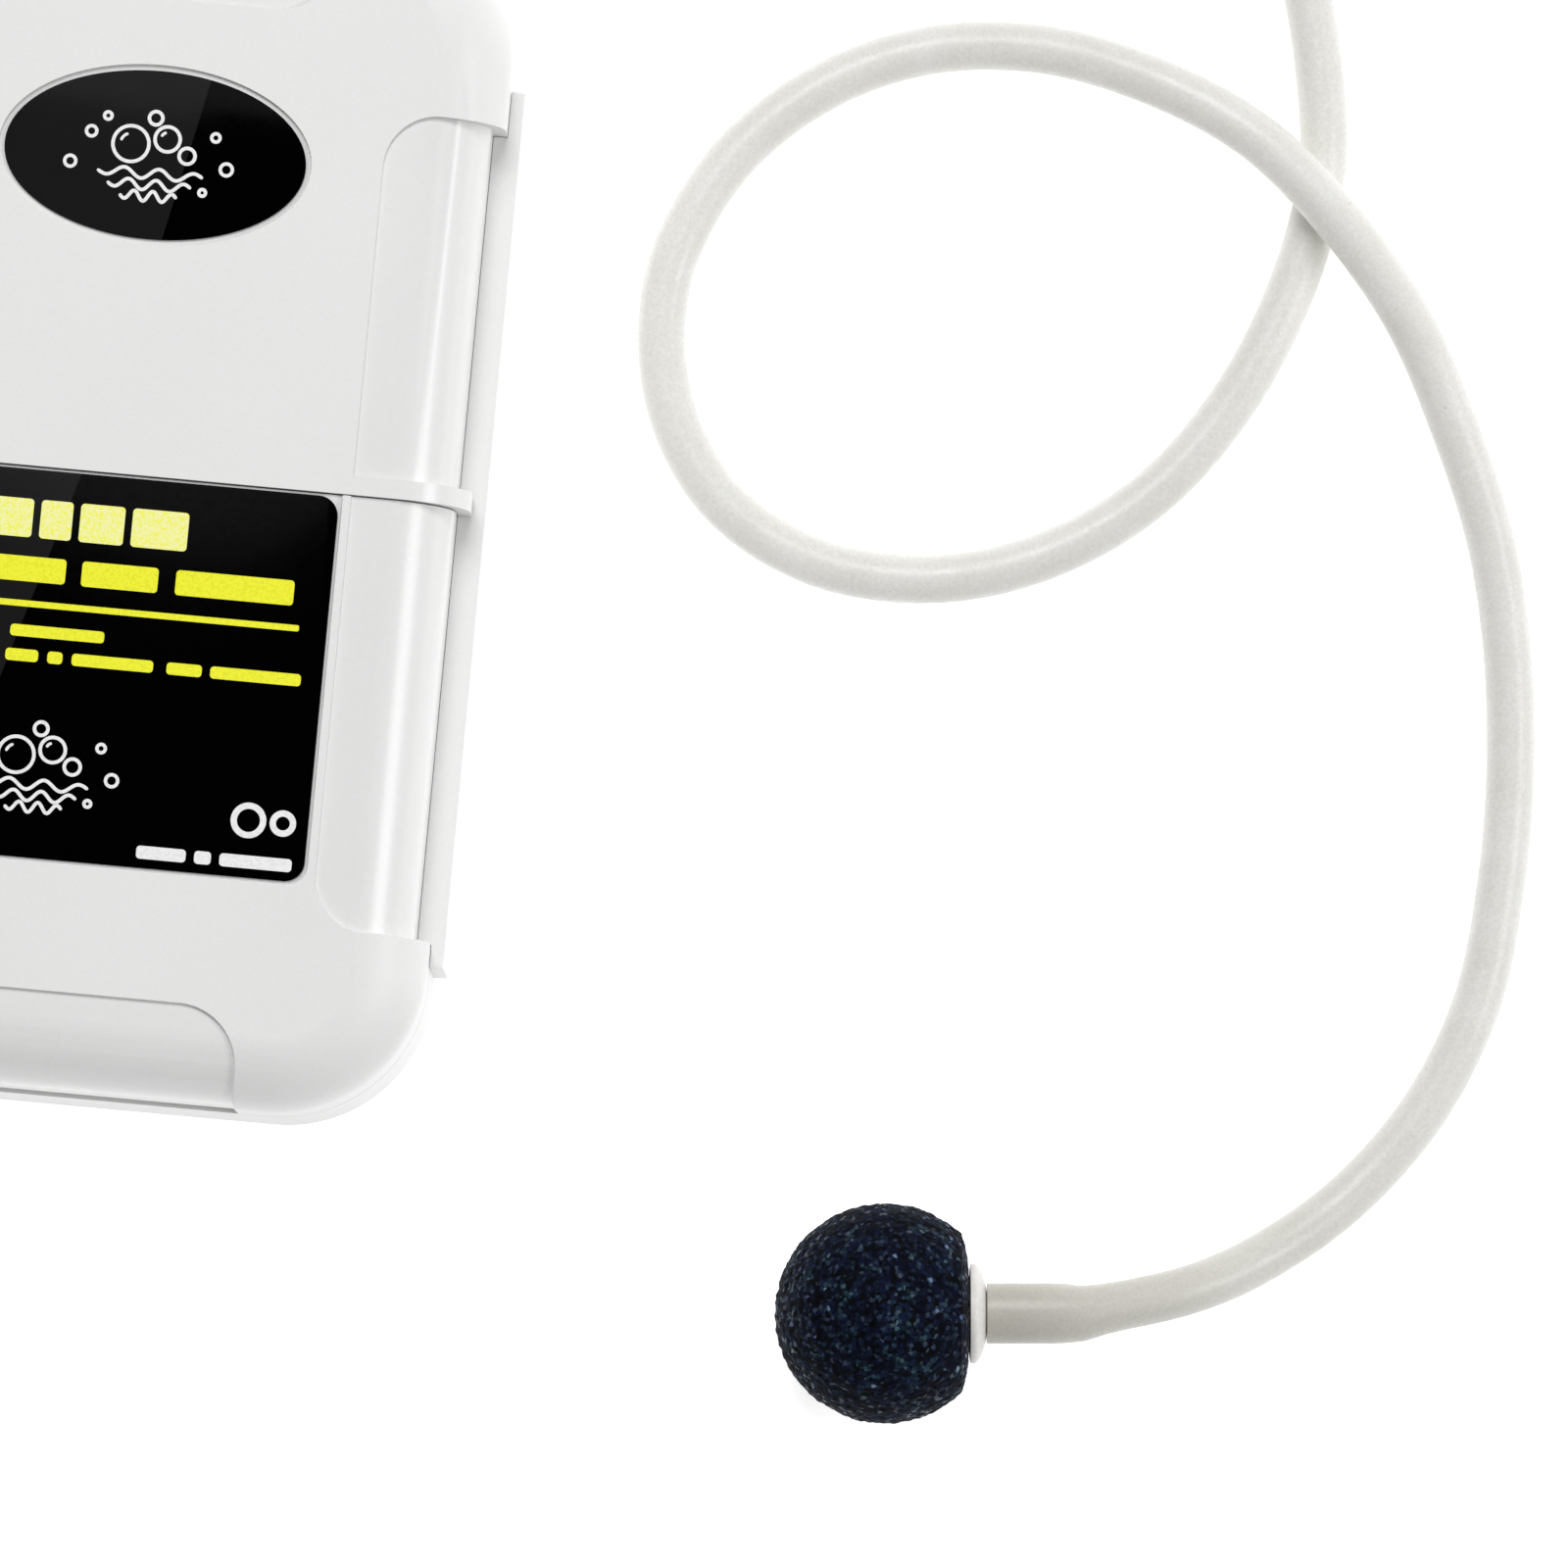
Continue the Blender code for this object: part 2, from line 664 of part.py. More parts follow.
def make_battery_bay():
    plus_y = CONTACT_Y - GAP
    minus_y = BRIDGE_Y + CONTACT_THICKNESS + GAP
    make_cell("battery_1", -CELL_X, plus_y, 1)
    make_cell("battery_2", CELL_X, minus_y, -1)
    box("bridge_contact", (-26.0, BRIDGE_Y, 8.0), (26.0, BRIDGE_Y + CONTACT_THICKNESS, 31.0), "steel")
    make_contact("contact_positive", -CELL_X)
    make_contact("contact_negative", CELL_X)
    make_spring("battery_spring_1", -CELL_X, minus_y)
    make_spring("battery_spring_2", CELL_X, plus_y - SPRING_LENGTH)

    bulkhead_low = (-BAY_HALF_WIDTH + GAP, 0.0, WALL + GAP)
    bulkhead_high = (BAY_HALF_WIDTH - GAP, BULKHEAD_THICKNESS, BULKHEAD_TOP_Z)
    bm = box_mesh(bulkhead_low, bulkhead_high)
    along_y = edges_along(bm, 1)
    upper = [e for e in along_y if e.verts[0].co.z > CELL_Z]
    lower = [e for e in along_y if e.verts[0].co.z < CELL_Z]
    round_edges(bm, upper, 6.0, 1)
    round_edges(bm, lower, 3.0, 1)
    bulkhead = solid("bulkhead", bm, "housing")
    for i, x in enumerate((-CELL_X, CELL_X)):
        cut(bulkhead, box(f"tab_slot_{i}", (x - 3.0, -2.0, 31.8), (x + 3.0, 4.0, 33.6)))


# ---------------------------------------------------------------- motor and crank


def along_x(name, x_low, x_high, radius, finish=None, sides=24, y=MOTOR_Y, z=MOTOR_Z):
    return round_bar(name, (x_low, y, z), (x_high, y, z), radius, finish, sides)


def make_motor():
    inner = MOTOR_RADIUS - 0.7
    front_wall = MOTOR_FRONT_X - 0.8
    can = along_x("motor_can", MOTOR_BACK_X, MOTOR_FRONT_X, MOTOR_RADIUS, "steel", 32)
    cut(
        can,
        along_x("can_bore", MOTOR_BACK_X - 1.0, front_wall, inner, sides=32),
        along_x("can_nose", front_wall - 1.0, MOTOR_FRONT_X + 1.0, 3.0),
    )
    bell_back = MOTOR_BACK_X - BELL_THICKNESS
    bell = along_x("motor_end_bell", bell_back, MOTOR_BACK_X - GAP, MOTOR_RADIUS - 0.2, "dark_plastic", 32)
    cut(bell, along_x("bell_bore", MOTOR_BACK_X - 1.4, MOTOR_BACK_X + 1.0, SHAFT_RADIUS + GAP, sides=16))
    for i, side in enumerate((-1, 1)):
        y = MOTOR_Y + 7.0 * side
        root_x = bell_back - GAP
        terminal_low = (root_x - TERMINAL_LENGTH, y - 0.3, MOTOR_Z - 1.5)
        box(f"motor_terminal_{i + 1}", terminal_low, (root_x, y + 0.3, MOTOR_Z + 1.5), "brass")
        magnet = along_x(f"motor_magnet_{i + 1}", -20.0, -5.0, inner - GAP, "ferrite", 32)
        y_cut = sorted((MOTOR_Y - side * 5.0, MOTOR_Y + side * 20.0))
        cut(
            magnet,
            along_x(f"magnet_bore_{i}", -21.0, -4.0, 9.1, sides=32),
            box(f"magnet_trim_{i}", (-23.0, y_cut[0], 0.0), (-1.0, y_cut[1], 40.0)),
        )
    bushing = along_x("motor_bushing", front_wall - 0.6, MOTOR_FRONT_X + 0.6, 3.0 - GAP, "brass", 20)
    bore_radius = SHAFT_RADIUS + 0.15
    cut(bushing, along_x("bushing_bore", front_wall - 2.0, MOTOR_FRONT_X + 2.0, bore_radius, sides=20))


def make_rotor():
    """The turning group: shaft, armature, commutator, crank disc with its pin, and the clip on the pin."""
    shaft = along_x("motor_shaft", MOTOR_BACK_X - 1.1, 4.9, SHAFT_RADIUS, "steel", 16)
    armature = along_x("armature", -19.0, -6.0, 8.5, "steel", 30)
    for i in range(3):
        angle = 2 * math.pi * i / 3
        across, up = math.sin(angle), math.cos(angle)
        y, z = MOTOR_Y + 7.0 * across, MOTOR_Z + 7.0 * up
        cut(armature, along_x(f"pole_slot_{i}", -20.0, -5.0, 2.4, sides=12, y=y, z=z))
    cut(armature, along_x("armature_bore", -20.0, -5.0, SHAFT_RADIUS + GAP, sides=16))
    commutator = along_x("commutator", -21.3, -19.3, 2.8, "copper", 18)
    cut(commutator, along_x("commutator_bore", -22.0, -19.0, SHAFT_RADIUS + GAP, sides=16))
    pin_z = MOTOR_Z + CRANK_THROW
    crank = along_x("crank_disc", 2.5, 5.5, 5.0, "nylon")
    join(crank, along_x("crank_pin", 5.0, 12.2, PIN_RADIUS, z=pin_z))
    cut(crank, along_x("crank_bore", 1.0, 5.2, SHAFT_RADIUS + GAP, sides=16))
    clip = along_x("crank_clip", 11.1, 11.8, 2.7, "steel", 20, z=pin_z)
    cut(clip, along_x("clip_bore", 10.0, 13.0, PIN_RADIUS + GAP, sides=20, z=pin_z))
    on_axis("motor_axis", (0.0, MOTOR_Y, MOTOR_Z), (shaft, armature, commutator, crank, clip))


def make_connecting_rod():
    low_x = COLUMN_X - ROD_HALF_THICKNESS
    high_x = COLUMN_X + ROD_HALF_THICKNESS
    pin_z = MOTOR_Z + CRANK_THROW
    wrist_y = MOTOR_Y + ROD_LENGTH
    rod = along_x("connecting_rod", low_x, high_x, 4.0, "nylon", z=pin_z)
    beam_low = (low_x + 0.6, MOTOR_Y + 2.5, pin_z - 1.6)
    beam_high = (high_x - 0.6, wrist_y - 4.0, pin_z + 1.6)
    join(
        rod,
        box("rod_beam", beam_low, beam_high),
        along_x("rod_eye", low_x, high_x, 5.0, y=wrist_y, z=pin_z),
    )
    cut(
        rod,
        along_x("rod_bore", low_x - 1.0, high_x + 1.0, PIN_RADIUS + 0.15, z=pin_z),
        along_x("wrist_bore", low_x - 1.0, high_x + 1.0, WRIST_HOLE, y=wrist_y, z=pin_z),
    )
    on_axis("crank_pin_axis", (COLUMN_X, MOTOR_Y, pin_z), (rod,))


def make_chassis():
    """The motor's cradle and the pump head's wall, on one base plate over a foam pad."""
    box("foam_pad", (-26.0, 6.0, WALL + GAP), (22.0, 44.0, 4.1), "foam")
    chassis = box("pump_chassis", (-28.0, 3.4, 4.4), (24.0, 47.0, 6.4), "dark_plastic")
    join(
        chassis,
        box("cradle", (-21.0, MOTOR_Y - 17.6, 6.0), (-4.0, MOTOR_Y + 17.6, 16.0)),
        box("head_wall", (COLUMN_X - 13.0, HEAD_WALL_Y[0], 6.0), (COLUMN_X + 13.0, HEAD_WALL_Y[1], 32.0)),
    )
    cut(
        chassis,
        along_x("cradle_bore", -25.0, -1.0, MOTOR_RADIUS + GAP, sides=32),
        round_bar("head_window", (COLUMN_X, 40.0, MOTOR_Z), (COLUMN_X, 46.0, MOTOR_Z), 8.6),
    )
    clamp = along_x("motor_clamp", -16.0, -9.0, MOTOR_RADIUS + 1.2, "steel", 32)
    cut(
        clamp,
        along_x("clamp_bore", -17.0, -8.0, MOTOR_RADIUS + GAP, sides=32),
        box("clamp_trim", (-20.0, 0.0, 0.0), (-5.0, 40.0, 16.0 + GAP)),
    )
    for i, side in enumerate((-1, 1)):
        y = MOTOR_Y + 15.4 * side
        inner, outer = sorted((MOTOR_Y + 12.4 * side, MOTOR_Y + 17.6 * side))
        join(clamp, box(f"clamp_foot_{i}", (-16.0, inner, 16.0 + GAP), (-9.0, outer, 17.2)))
        hole = round_bar(f"clamp_hole_{i}", (-12.5, y, 7.5), (-12.5, y, 20.0), 1.4, sides=16)
        cut(clamp, hole)
        cut(chassis, hole)
        screw(f"clamp_screw_{i + 1}", (-12.5, y, 17.2 + GAP), (-12.5, y, 8.0), 1.9, 1.4, 1.0)
    return chassis


# ---------------------------------------------------------------- pump head


def head_block(name, span, finish):
    low = (COLUMN_X - HEAD_HALF, span[0], MOTOR_Z - HEAD_HALF)
    high = (COLUMN_X + HEAD_HALF, span[1], MOTOR_Z + HEAD_HALF)
    bm = box_mesh(low, high)
    round_edges(bm, edges_along(bm, 1), 2.5, 2)
    return solid(name, bm, finish)


def along_y(name, y_low, y_high, radius, finish=None, sides=20, x=COLUMN_X, z=MOTOR_Z):
    return round_bar(name, (x, y_low, z), (x, y_high, z), radius, finish, sides)


def make_clevis():
    """The diaphragm's plunger. The rod's eye goes round its cross pin with room for the crank's throw."""
    wrist_y = MOTOR_Y + ROD_LENGTH
    clevis = along_y("diaphragm_clevis", HEAD_WALL_Y[1] - 1.8, HEAD_WALL_Y[1], 6.2, "nylon")
    gap_half = ROD_HALF_THICKNESS + 0.4
    for i, side in enumerate((-1, 1)):
        inner, outer = sorted((COLUMN_X + side * gap_half, COLUMN_X + side * (gap_half + 1.5)))
        ear_low = (inner, wrist_y, MOTOR_Z - EAR_RADIUS)
        ear_high = (outer, HEAD_WALL_Y[1] - 1.0, MOTOR_Z + EAR_RADIUS)
        join(
            clevis,
            box(f"ear_{i}", ear_low, ear_high),
            along_x(f"ear_end_{i}", inner, outer, EAR_RADIUS, y=wrist_y),
        )
    pin_low, pin_high = COLUMN_X - gap_half - 1.0, COLUMN_X + gap_half + 1.0
    join(clevis, along_x("wrist_pin", pin_low, pin_high, WRIST_PIN_RADIUS, sides=16, y=wrist_y))


def make_diaphragm():
    """A moulded rubber disc: a thick clamped rim, a raised ring that flexes, and a thick centre."""
    thickness = DIAPHRAGM_Y[1] - DIAPHRAGM_Y[0]
    profile = (
        (0.0, thickness + 0.3),
        (5.2, thickness + 0.3),
        (6.0, 1.0),
        (7.2, 1.5),
        (8.3, 1.0),
        (8.8, thickness),
        (11.4, thickness),
        (11.4, 0.0),
        (8.4, 0.0),
        (7.2, 0.6),
        (6.0, 0.0),
        (0.0, 0.0),
    )
    turned("diaphragm", profile, (COLUMN_X, DIAPHRAGM_Y[0], MOTOR_Z), (0, 1, 0), "rubber", steps=20)


def make_pump_head(chassis):
    inlet_z = MOTOR_Z + PORT_OFFSET
    chamber = head_block("pump_chamber", CHAMBER_Y, "dark_plastic")
    chamber_floor = CHAMBER_Y[0] + 3.0
    cut(
        chamber,
        along_y("chamber_recess", CHAMBER_Y[0] - 1.0, chamber_floor, 8.6),
        along_y("inlet_port", chamber_floor - 1.0, CHAMBER_Y[1] + 1.0, 1.6, sides=14, z=inlet_z),
        along_y("outlet_port", chamber_floor - 1.0, CHAMBER_Y[1] + 1.0, 1.6, sides=14, z=OUTLET_Z),
    )
    along_y("inlet_flap", chamber_floor - 0.9, chamber_floor - GAP, 3.0, "rubber", 18, z=inlet_z)
    along_y("outlet_flap", COVER_Y[0], COVER_Y[0] + 0.6, 3.0, "rubber", 18, z=OUTLET_Z)

    cover = head_block("head_cover", COVER_Y, "dark_plastic")
    join(cover, along_y("spigot", COVER_Y[1] - 1.0, SPIGOT_END_Y, 2.0, z=OUTLET_Z))
    cut(
        cover,
        along_y("outlet_chamber", COVER_Y[0] - 1.0, COVER_Y[0] + 3.0, 3.7, z=OUTLET_Z),
        along_y("spigot_bore", COVER_Y[0] + 1.0, SPIGOT_END_Y + 1.0, 1.0, sides=14, z=OUTLET_Z),
        along_y("intake_bore", COVER_Y[0] - 1.0, COVER_Y[1] + 1.0, 2.2, sides=14, z=inlet_z),
    )
    corners = [(i, j) for i in (-1, 1) for j in (-1, 1)]
    for n, (i, j) in enumerate(corners):
        x, z = COLUMN_X + HEAD_BOLT * i, MOTOR_Z + HEAD_BOLT * j
        hole = along_y(f"head_hole_{n}", 40.0, COVER_Y[1] + 1.0, SCREW_HOLE, sides=14, x=x, z=z)
        for piece in (chassis, chamber, cover):
            cut(piece, hole)
        screw(f"head_screw_{n + 1}", (x, COVER_Y[1] + GAP, z), (x, 39.5, z), 2.3, 1.6)

    link = along_y("inner_tube", COVER_Y[1] + GAP, BAY_HALF_LENGTH - 1.9, 3.1, "silicone", z=OUTLET_Z)
    cut(link, along_y("inner_tube_bore", COVER_Y[1] - 1.0, BAY_HALF_LENGTH, 2.35, z=OUTLET_Z))


# ---------------------------------------------------------------- outlet, switch and wires


def make_outlet_nipple():
    """A barbed spigot through the end wall. Heights run from its outer tip (0) down to its inner end."""
    wall_out = HALF_LENGTH + GAP - NIPPLE_TIP_Y
    wall_in = BAY_HALF_LENGTH - GAP - NIPPLE_TIP_Y
    inner_end = SPIGOT_END_Y + GAP - NIPPLE_TIP_Y
    profile = (
        (1.9, 0.0),
        (2.6, -2.6),
        (2.0, -2.8),
        (2.6, -5.4),
        (2.0, -5.6),
        (2.1, wall_out + 1.6),
        (5.2, wall_out + 1.4),
        (5.6, wall_out),
        (NIPPLE_SHANK, wall_out),
        (NIPPLE_SHANK, wall_in),
        (5.0, wall_in),
        (5.0, wall_in - 1.2),
        (2.0, wall_in - 1.3),
        (2.0, inner_end),
        (1.0, inner_end),
        (1.0, 0.0),
    )
    tip = (COLUMN_X, NIPPLE_TIP_Y, OUTLET_Z)
    turned("outlet_nipple", profile, tip, (0, 1, 0), "housing", steps=18, hollow=True)


def make_switch():
    body_low = (SWITCH_X - 7.4, 62.7, SWITCH_Z - 3.6)
    body_high = (SWITCH_X + 7.4, BAY_HALF_LENGTH - GAP, SWITCH_Z + 3.6)
    body = box("switch_body", body_low, body_high, "dark_plastic")
    slot_low = (SWITCH_X - 4.6, 66.0, SWITCH_Z - 1.0)
    slot_high = (SWITCH_X + 4.6, HALF_LENGTH, SWITCH_Z + 1.0)
    cut(body, box("switch_slot", slot_low, slot_high))
    left = SWITCH_X - SWITCH_TRAVEL / 2 - 2.0
    knob_high = (left + 4.0, HALF_LENGTH + KNOB_PROUD, SWITCH_Z + 1.6)
    bm = box_mesh((left, BAY_HALF_LENGTH, SWITCH_Z - 1.6), knob_high)
    outer = [e for e in bm.edges if all(v.co.y > HALF_LENGTH for v in e.verts)]
    round_edges(bm, outer, 0.5, 2)
    knob = solid("switch_knob", bm, "dark_plastic")
    join(knob, box("knob_foot", (left + 0.6, 66.4, SWITCH_Z - 0.7), (left + 3.4, 71.0, SWITCH_Z + 0.7)))
    for i in range(3):
        x = left + 1.0 + i
        floor_y = HALF_LENGTH + KNOB_PROUD - 0.4
        cut(knob, box(f"knob_groove_{i}", (x - 0.2, floor_y, 0.0), (x + 0.2, FAR, DEPTH)))
    on_axis("switch_track", (SWITCH_X, HALF_LENGTH, SWITCH_Z), (knob,))


def make_wires():
    terminal_x = MOTOR_BACK_X - BELL_THICKNESS - GAP - TERMINAL_LENGTH - GAP - 0.7
    routes = {
        "wire_positive": (
            "red_wire",
            (
                (-17.0, 6.0, 32.7),
                (-17.5, 10.0, 34.6),
                (-18.0, 22.0, 35.6),
                (-19.0, 40.0, 33.5),
                (-18.0, 54.0, 23.0),
                (-17.5, 61.7, 17.0),
            ),
        ),
        "wire_switch": (
            "red_wire",
            (
                (-11.5, 61.7, 17.0),
                (-13.0, 54.0, 22.0),
                (-22.0, 45.0, 27.0),
                (terminal_x, 36.0, 25.0),
                (terminal_x, 28.0, 19.0),
            ),
        ),
        "wire_negative": (
            "black_wire",
            (
                (17.0, 6.0, 32.7),
                (14.0, 10.0, 36.5),
                (0.0, 11.0, 38.6),
                (-18.0, 9.0, 38.6),
                (terminal_x + 1.5, 8.5, 31.0),
                (terminal_x, 14.0, 19.0),
            ),
        ),
    }
    for name, (finish, route) in routes.items():
        tube(name, smooth_route(route, 3.5), 0.6, finish, 1)


# ---------------------------------------------------------------- hose and stone


def stone_point(along):
    """A point on the stone's axis, at a distance from the stone's centre towards the hose."""
    direction = Vector((math.cos(STONE_TURN), math.sin(STONE_TURN), 0.0))
    return Vector(STONE_CENTRE) + direction * along


def make_air_stone():
    arc = 9
    flat_angle = math.acos(STONE_SHOULDER / STONE_RADIUS)
    profile = [(0.0, STONE_FLAT), (STONE_FACE_RADIUS, STONE_FLAT)]
    for i in range(arc + 1):
        angle = flat_angle + (math.pi - flat_angle) * i / arc
        profile.append((STONE_RADIUS * math.sin(angle), STONE_RADIUS * math.cos(angle)))
    profile[-1] = (0.0, -STONE_RADIUS)
    axis = stone_point(1.0) - Vector(STONE_CENTRE)
    stone = turned("air_stone", profile, STONE_CENTRE, axis, "stone", steps=26)
    cut(stone, round_bar("stone_socket", stone_point(3.0), stone_point(STONE_FLAT + 2.0), 2.7, sides=18))
    stem_profile = (
        (2.0, STEM_TIP),
        (2.6, STEM_TIP - 2.4),
        (2.1, STEM_TIP - 2.6),
        (2.6, STEM_TIP - 5.0),
        (2.1, STEM_TIP - 5.2),
        (2.2, 12.2),
        (4.2, 11.9),
        (STEM_COLLAR_RADIUS, 11.1),
        (STEM_COLLAR_RADIUS, STONE_FLAT + GAP),
        (2.3, STONE_FLAT + GAP),
        (2.3, 3.6),
        (1.0, 3.6),
        (1.0, STEM_TIP),
    )
    turned("stone_stem", stem_profile, STONE_CENTRE, axis, "nylon", steps=16, hollow=True)


def make_air_hose():
    """The hose's tube. A short straight run squares its ends to the nipple and to the stem."""
    stem_end = stone_point(STEM_TIP + GAP)
    route = smooth_route([*HOSE_ROUTE, stem_end], HOSE_STEP)
    after_nipple = route[0] + Vector((0.0, HOSE_END_RUN, 0.0))
    before_stem = stone_point(STEM_TIP + GAP + HOSE_END_RUN)
    points = [route[0], after_nipple, *route[1:-1], before_stem, route[-1]]
    tube("air_hose", points, HOSE_RADIUS, "silicone", 2)


# ---------------------------------------------------------------- assembly


for old in list(bpy.data.objects):
    bpy.data.objects.remove(old, do_unlink=True)
PUMP = new_collection("battery_air_pump")
CUTTERS = new_collection("cutters")

bay_space = bay_cutter()
door_panels, cover_panels = panel_cutters()
make_rear_case(bay_space)
make_front_cover(bay_space, cover_panels)
battery_door = make_battery_door(bay_space, door_panels)
door_label = make_labels()
on_axis("door_track", (0.0, SEAM_Y, PARTING_Z), (battery_door, door_label))
make_case_screws()
make_battery_bay()
make_motor()
make_rotor()
make_connecting_rod()
pump_chassis = make_chassis()
make_clevis()
make_diaphragm()
make_pump_head(pump_chassis)
make_outlet_nipple()
make_switch()
make_wires()
make_air_stone()
make_air_hose()
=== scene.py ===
"""Looks for the portable battery air pump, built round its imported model.

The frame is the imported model's: +X is the pump's right, +Y runs to its outlet end and +Z comes out of its
front face, which looks up. Shapes are worked out in millimetres, and mesh_object() scales them to metres.
"""

import math

import bmesh
import bpy
import numpy as np
from mathutils import Matrix, Vector, noise


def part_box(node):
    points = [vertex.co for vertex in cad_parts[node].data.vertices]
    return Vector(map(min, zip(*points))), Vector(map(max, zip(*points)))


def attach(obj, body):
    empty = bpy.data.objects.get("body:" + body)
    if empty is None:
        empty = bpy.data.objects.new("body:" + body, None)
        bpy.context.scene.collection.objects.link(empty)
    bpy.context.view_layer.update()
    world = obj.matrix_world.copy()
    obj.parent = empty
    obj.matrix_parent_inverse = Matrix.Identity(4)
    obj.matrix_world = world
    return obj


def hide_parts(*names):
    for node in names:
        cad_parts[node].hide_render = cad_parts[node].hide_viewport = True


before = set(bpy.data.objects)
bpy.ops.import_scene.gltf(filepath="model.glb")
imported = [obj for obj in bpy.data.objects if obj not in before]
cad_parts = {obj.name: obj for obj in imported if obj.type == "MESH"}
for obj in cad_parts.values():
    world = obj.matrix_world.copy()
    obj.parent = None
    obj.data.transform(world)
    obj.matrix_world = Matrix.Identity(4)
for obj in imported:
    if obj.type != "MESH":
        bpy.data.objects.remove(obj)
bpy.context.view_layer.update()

MM = 0.001


def cad_box(node):
    """A CAD node's lowest and highest corners, in millimetres."""
    low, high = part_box(node)
    return low / MM, high / MM


GAP = 0.3  # what the CAD keeps between pieces
FAR = 100.0  # beyond the whole part
COVER_LOW, COVER_HIGH = cad_box("front_cover")
REAR_HIGH = cad_box("rear_case")[1]
HALF_WIDTH, HALF_LENGTH, DEPTH = COVER_HIGH
PARTING_Z = COVER_LOW.z - GAP
SEAM_Y = COVER_LOW.y - GAP

# Housing, as the CAD has it
CORNER_RADIUS = 17.7
FRONT_RADIUS = 8.5
BACK_RADIUS = 5.0
WALL = 2.4
BAY_HALF_WIDTH = 37.6
BAY_HALF_LENGTH = 69.6
LIP_TOP_Y = 3.65
CORNER_FACETS = 20
FILLET_FACETS = 10
PANEL_SIDE_DEPTH = 1.7
PANEL_END_DEPTH = 0.5
PANEL_FRONT_DEPTH = 0.6
SIDE_PANEL_INNER_X = 27.1
SIDE_PANEL_LOW_Y = -50.35
SIDE_PANEL_HIGH_Y = 47.35
SIDE_PANEL_RADIUS = 6.5
END_PANEL_HALF_WIDTH = 19.7
END_PANEL_INNER_Y = (-60.7, 58.4)
END_PANEL_RADIUS = 7.2
RAIL_HALF_WIDTH = REAR_HIGH.x
RAIL_TOP_Z = REAR_HIGH.z
RAIL_HALF_LENGTH = 52.85
RAIL_LOW_Z = 8.0
BEAD_Z = 28.4
BEAD_HEIGHT = 1.2
BEAD_PROUD = 0.9
BEAD_HIGH_Y = -3.0
SHOWN_GAP = 0.06  # between the shells and the rails, which the photograph shows nearly closed
EDGE_ROUND = 0.22

# Labels
OVAL_LOW, OVAL_HIGH = cad_box("oval_label")
LABEL_LOW, LABEL_HIGH = cad_box("door_label")
OVAL_HALF_Y = (OVAL_HIGH.y - OVAL_LOW.y) / 2
OVAL_MIDDLE_Y = (OVAL_HIGH.y + OVAL_LOW.y) / 2
OVAL_RIM = 0.7
LABEL_RADIUS = 2.4
LABEL_BORDER = 0.35
LABEL_RECESS = 0.6
LABEL_EDGE = 0.12
PRINT_LINE = 0.42
PRINT_THICKNESS = 0.03
FOIL_TOP_Z = OVAL_HIGH.z - PRINT_THICKNESS - 0.01
PRINT_LOW_Z, PRINT_HIGH_Z = FOIL_TOP_Z - 0.01, FOIL_TOP_Z + PRINT_THICKNESS

# Each pair of case screws: how far from the middle, how far up the case, and where its boss ends
CASE_SCREWS = ((30.0, 60.7, 42.8), (34.5, 8.0, 40.0))

CELL_RADIUS = 16.6
CELL_LENGTH = 61.0

# Air hose: the route that the CAD tube follows, also wanted in metres
HOSE_ROUTE_MM = (
    (8.5, 83.35, 14.5), (8.5, 91.05, 13.9), (9.3, 100.55, 11.2), (13.0, 112.05, 7.4),
    (20.5, 123.05, 4.4), (32.0, 132.55, 3.2), (46.0, 138.55, 3.05), (62.0, 141.05, 3.05),
    (78.0, 140.05, 3.05), (93.5, 134.55, 3.05), (107.5, 125.05, 3.05), (119.0, 112.05, 3.05),
    (128.0, 97.05, 3.05), (134.2, 83.05, 3.05), (138.1, 69.35, 3.05), (139.8, 55.25, 3.05),
    (137.2, 40.65, 3.05), (131.3, 26.35, 3.05), (122.2, 14.05, 3.05), (109.9, 5.45, 3.05),
    (96.1, 1.45, 3.05), (81.8, 2.55, 3.05), (69.6, 9.45, 3.05), (62.4, 21.65, 3.05),
    (61.4, 35.95, 3.05), (66.9, 49.55, 3.05), (77.0, 59.85, 3.05), (89.8, 66.05, 3.3),
    (104.1, 67.45, 4.8), (118.2, 64.45, 7.3), (131.2, 58.55, 9.2), (142.0, 49.35, 9.5),
    (151.6, 38.05, 8.6), (158.6, 25.45, 6.6), (164.2, 12.45, 4.6), (167.6, -1.45, 3.4),
    (169.2, -15.75, 3.05), (169.2, -30.15, 3.05), (167.5, -44.35, 3.05), (162.2, -57.75, 3.05),
    (154.0, -68.95, 3.5), (144.5, -77.15, 6.2), (135.3, -82.35, 10.6),
)
HOSE_ROUTE = [tuple(value * MM for value in point) for point in HOSE_ROUTE_MM]

# The hose as shown, in millimetres: its radii, and what the two barbs add to them
HOSE_RADIUS = 2.97
HOSE_BORE_RADIUS = 2.0
BARB_STRETCH = 0.70
BARB_BORE_STRETCH = 0.66
BARB_LENGTH = 8.0
HOSE_WAVER = 0.03
HOSE_SIDES = 32
HOSE_STEP = 2.5
NIPPLE_COVERED = 8.7

# The photograph's camera
PICTURE_ROLL = math.radians(5.27)
CAMERA_TILT = math.radians(4.3)
CAMERA_DISTANCE = 1.503
CAMERA_AIM = Vector((0.08109, -0.02485, 0.0))
FOCAL_PIXELS = 12552.0
PICTURE_PIXELS = 1600.0

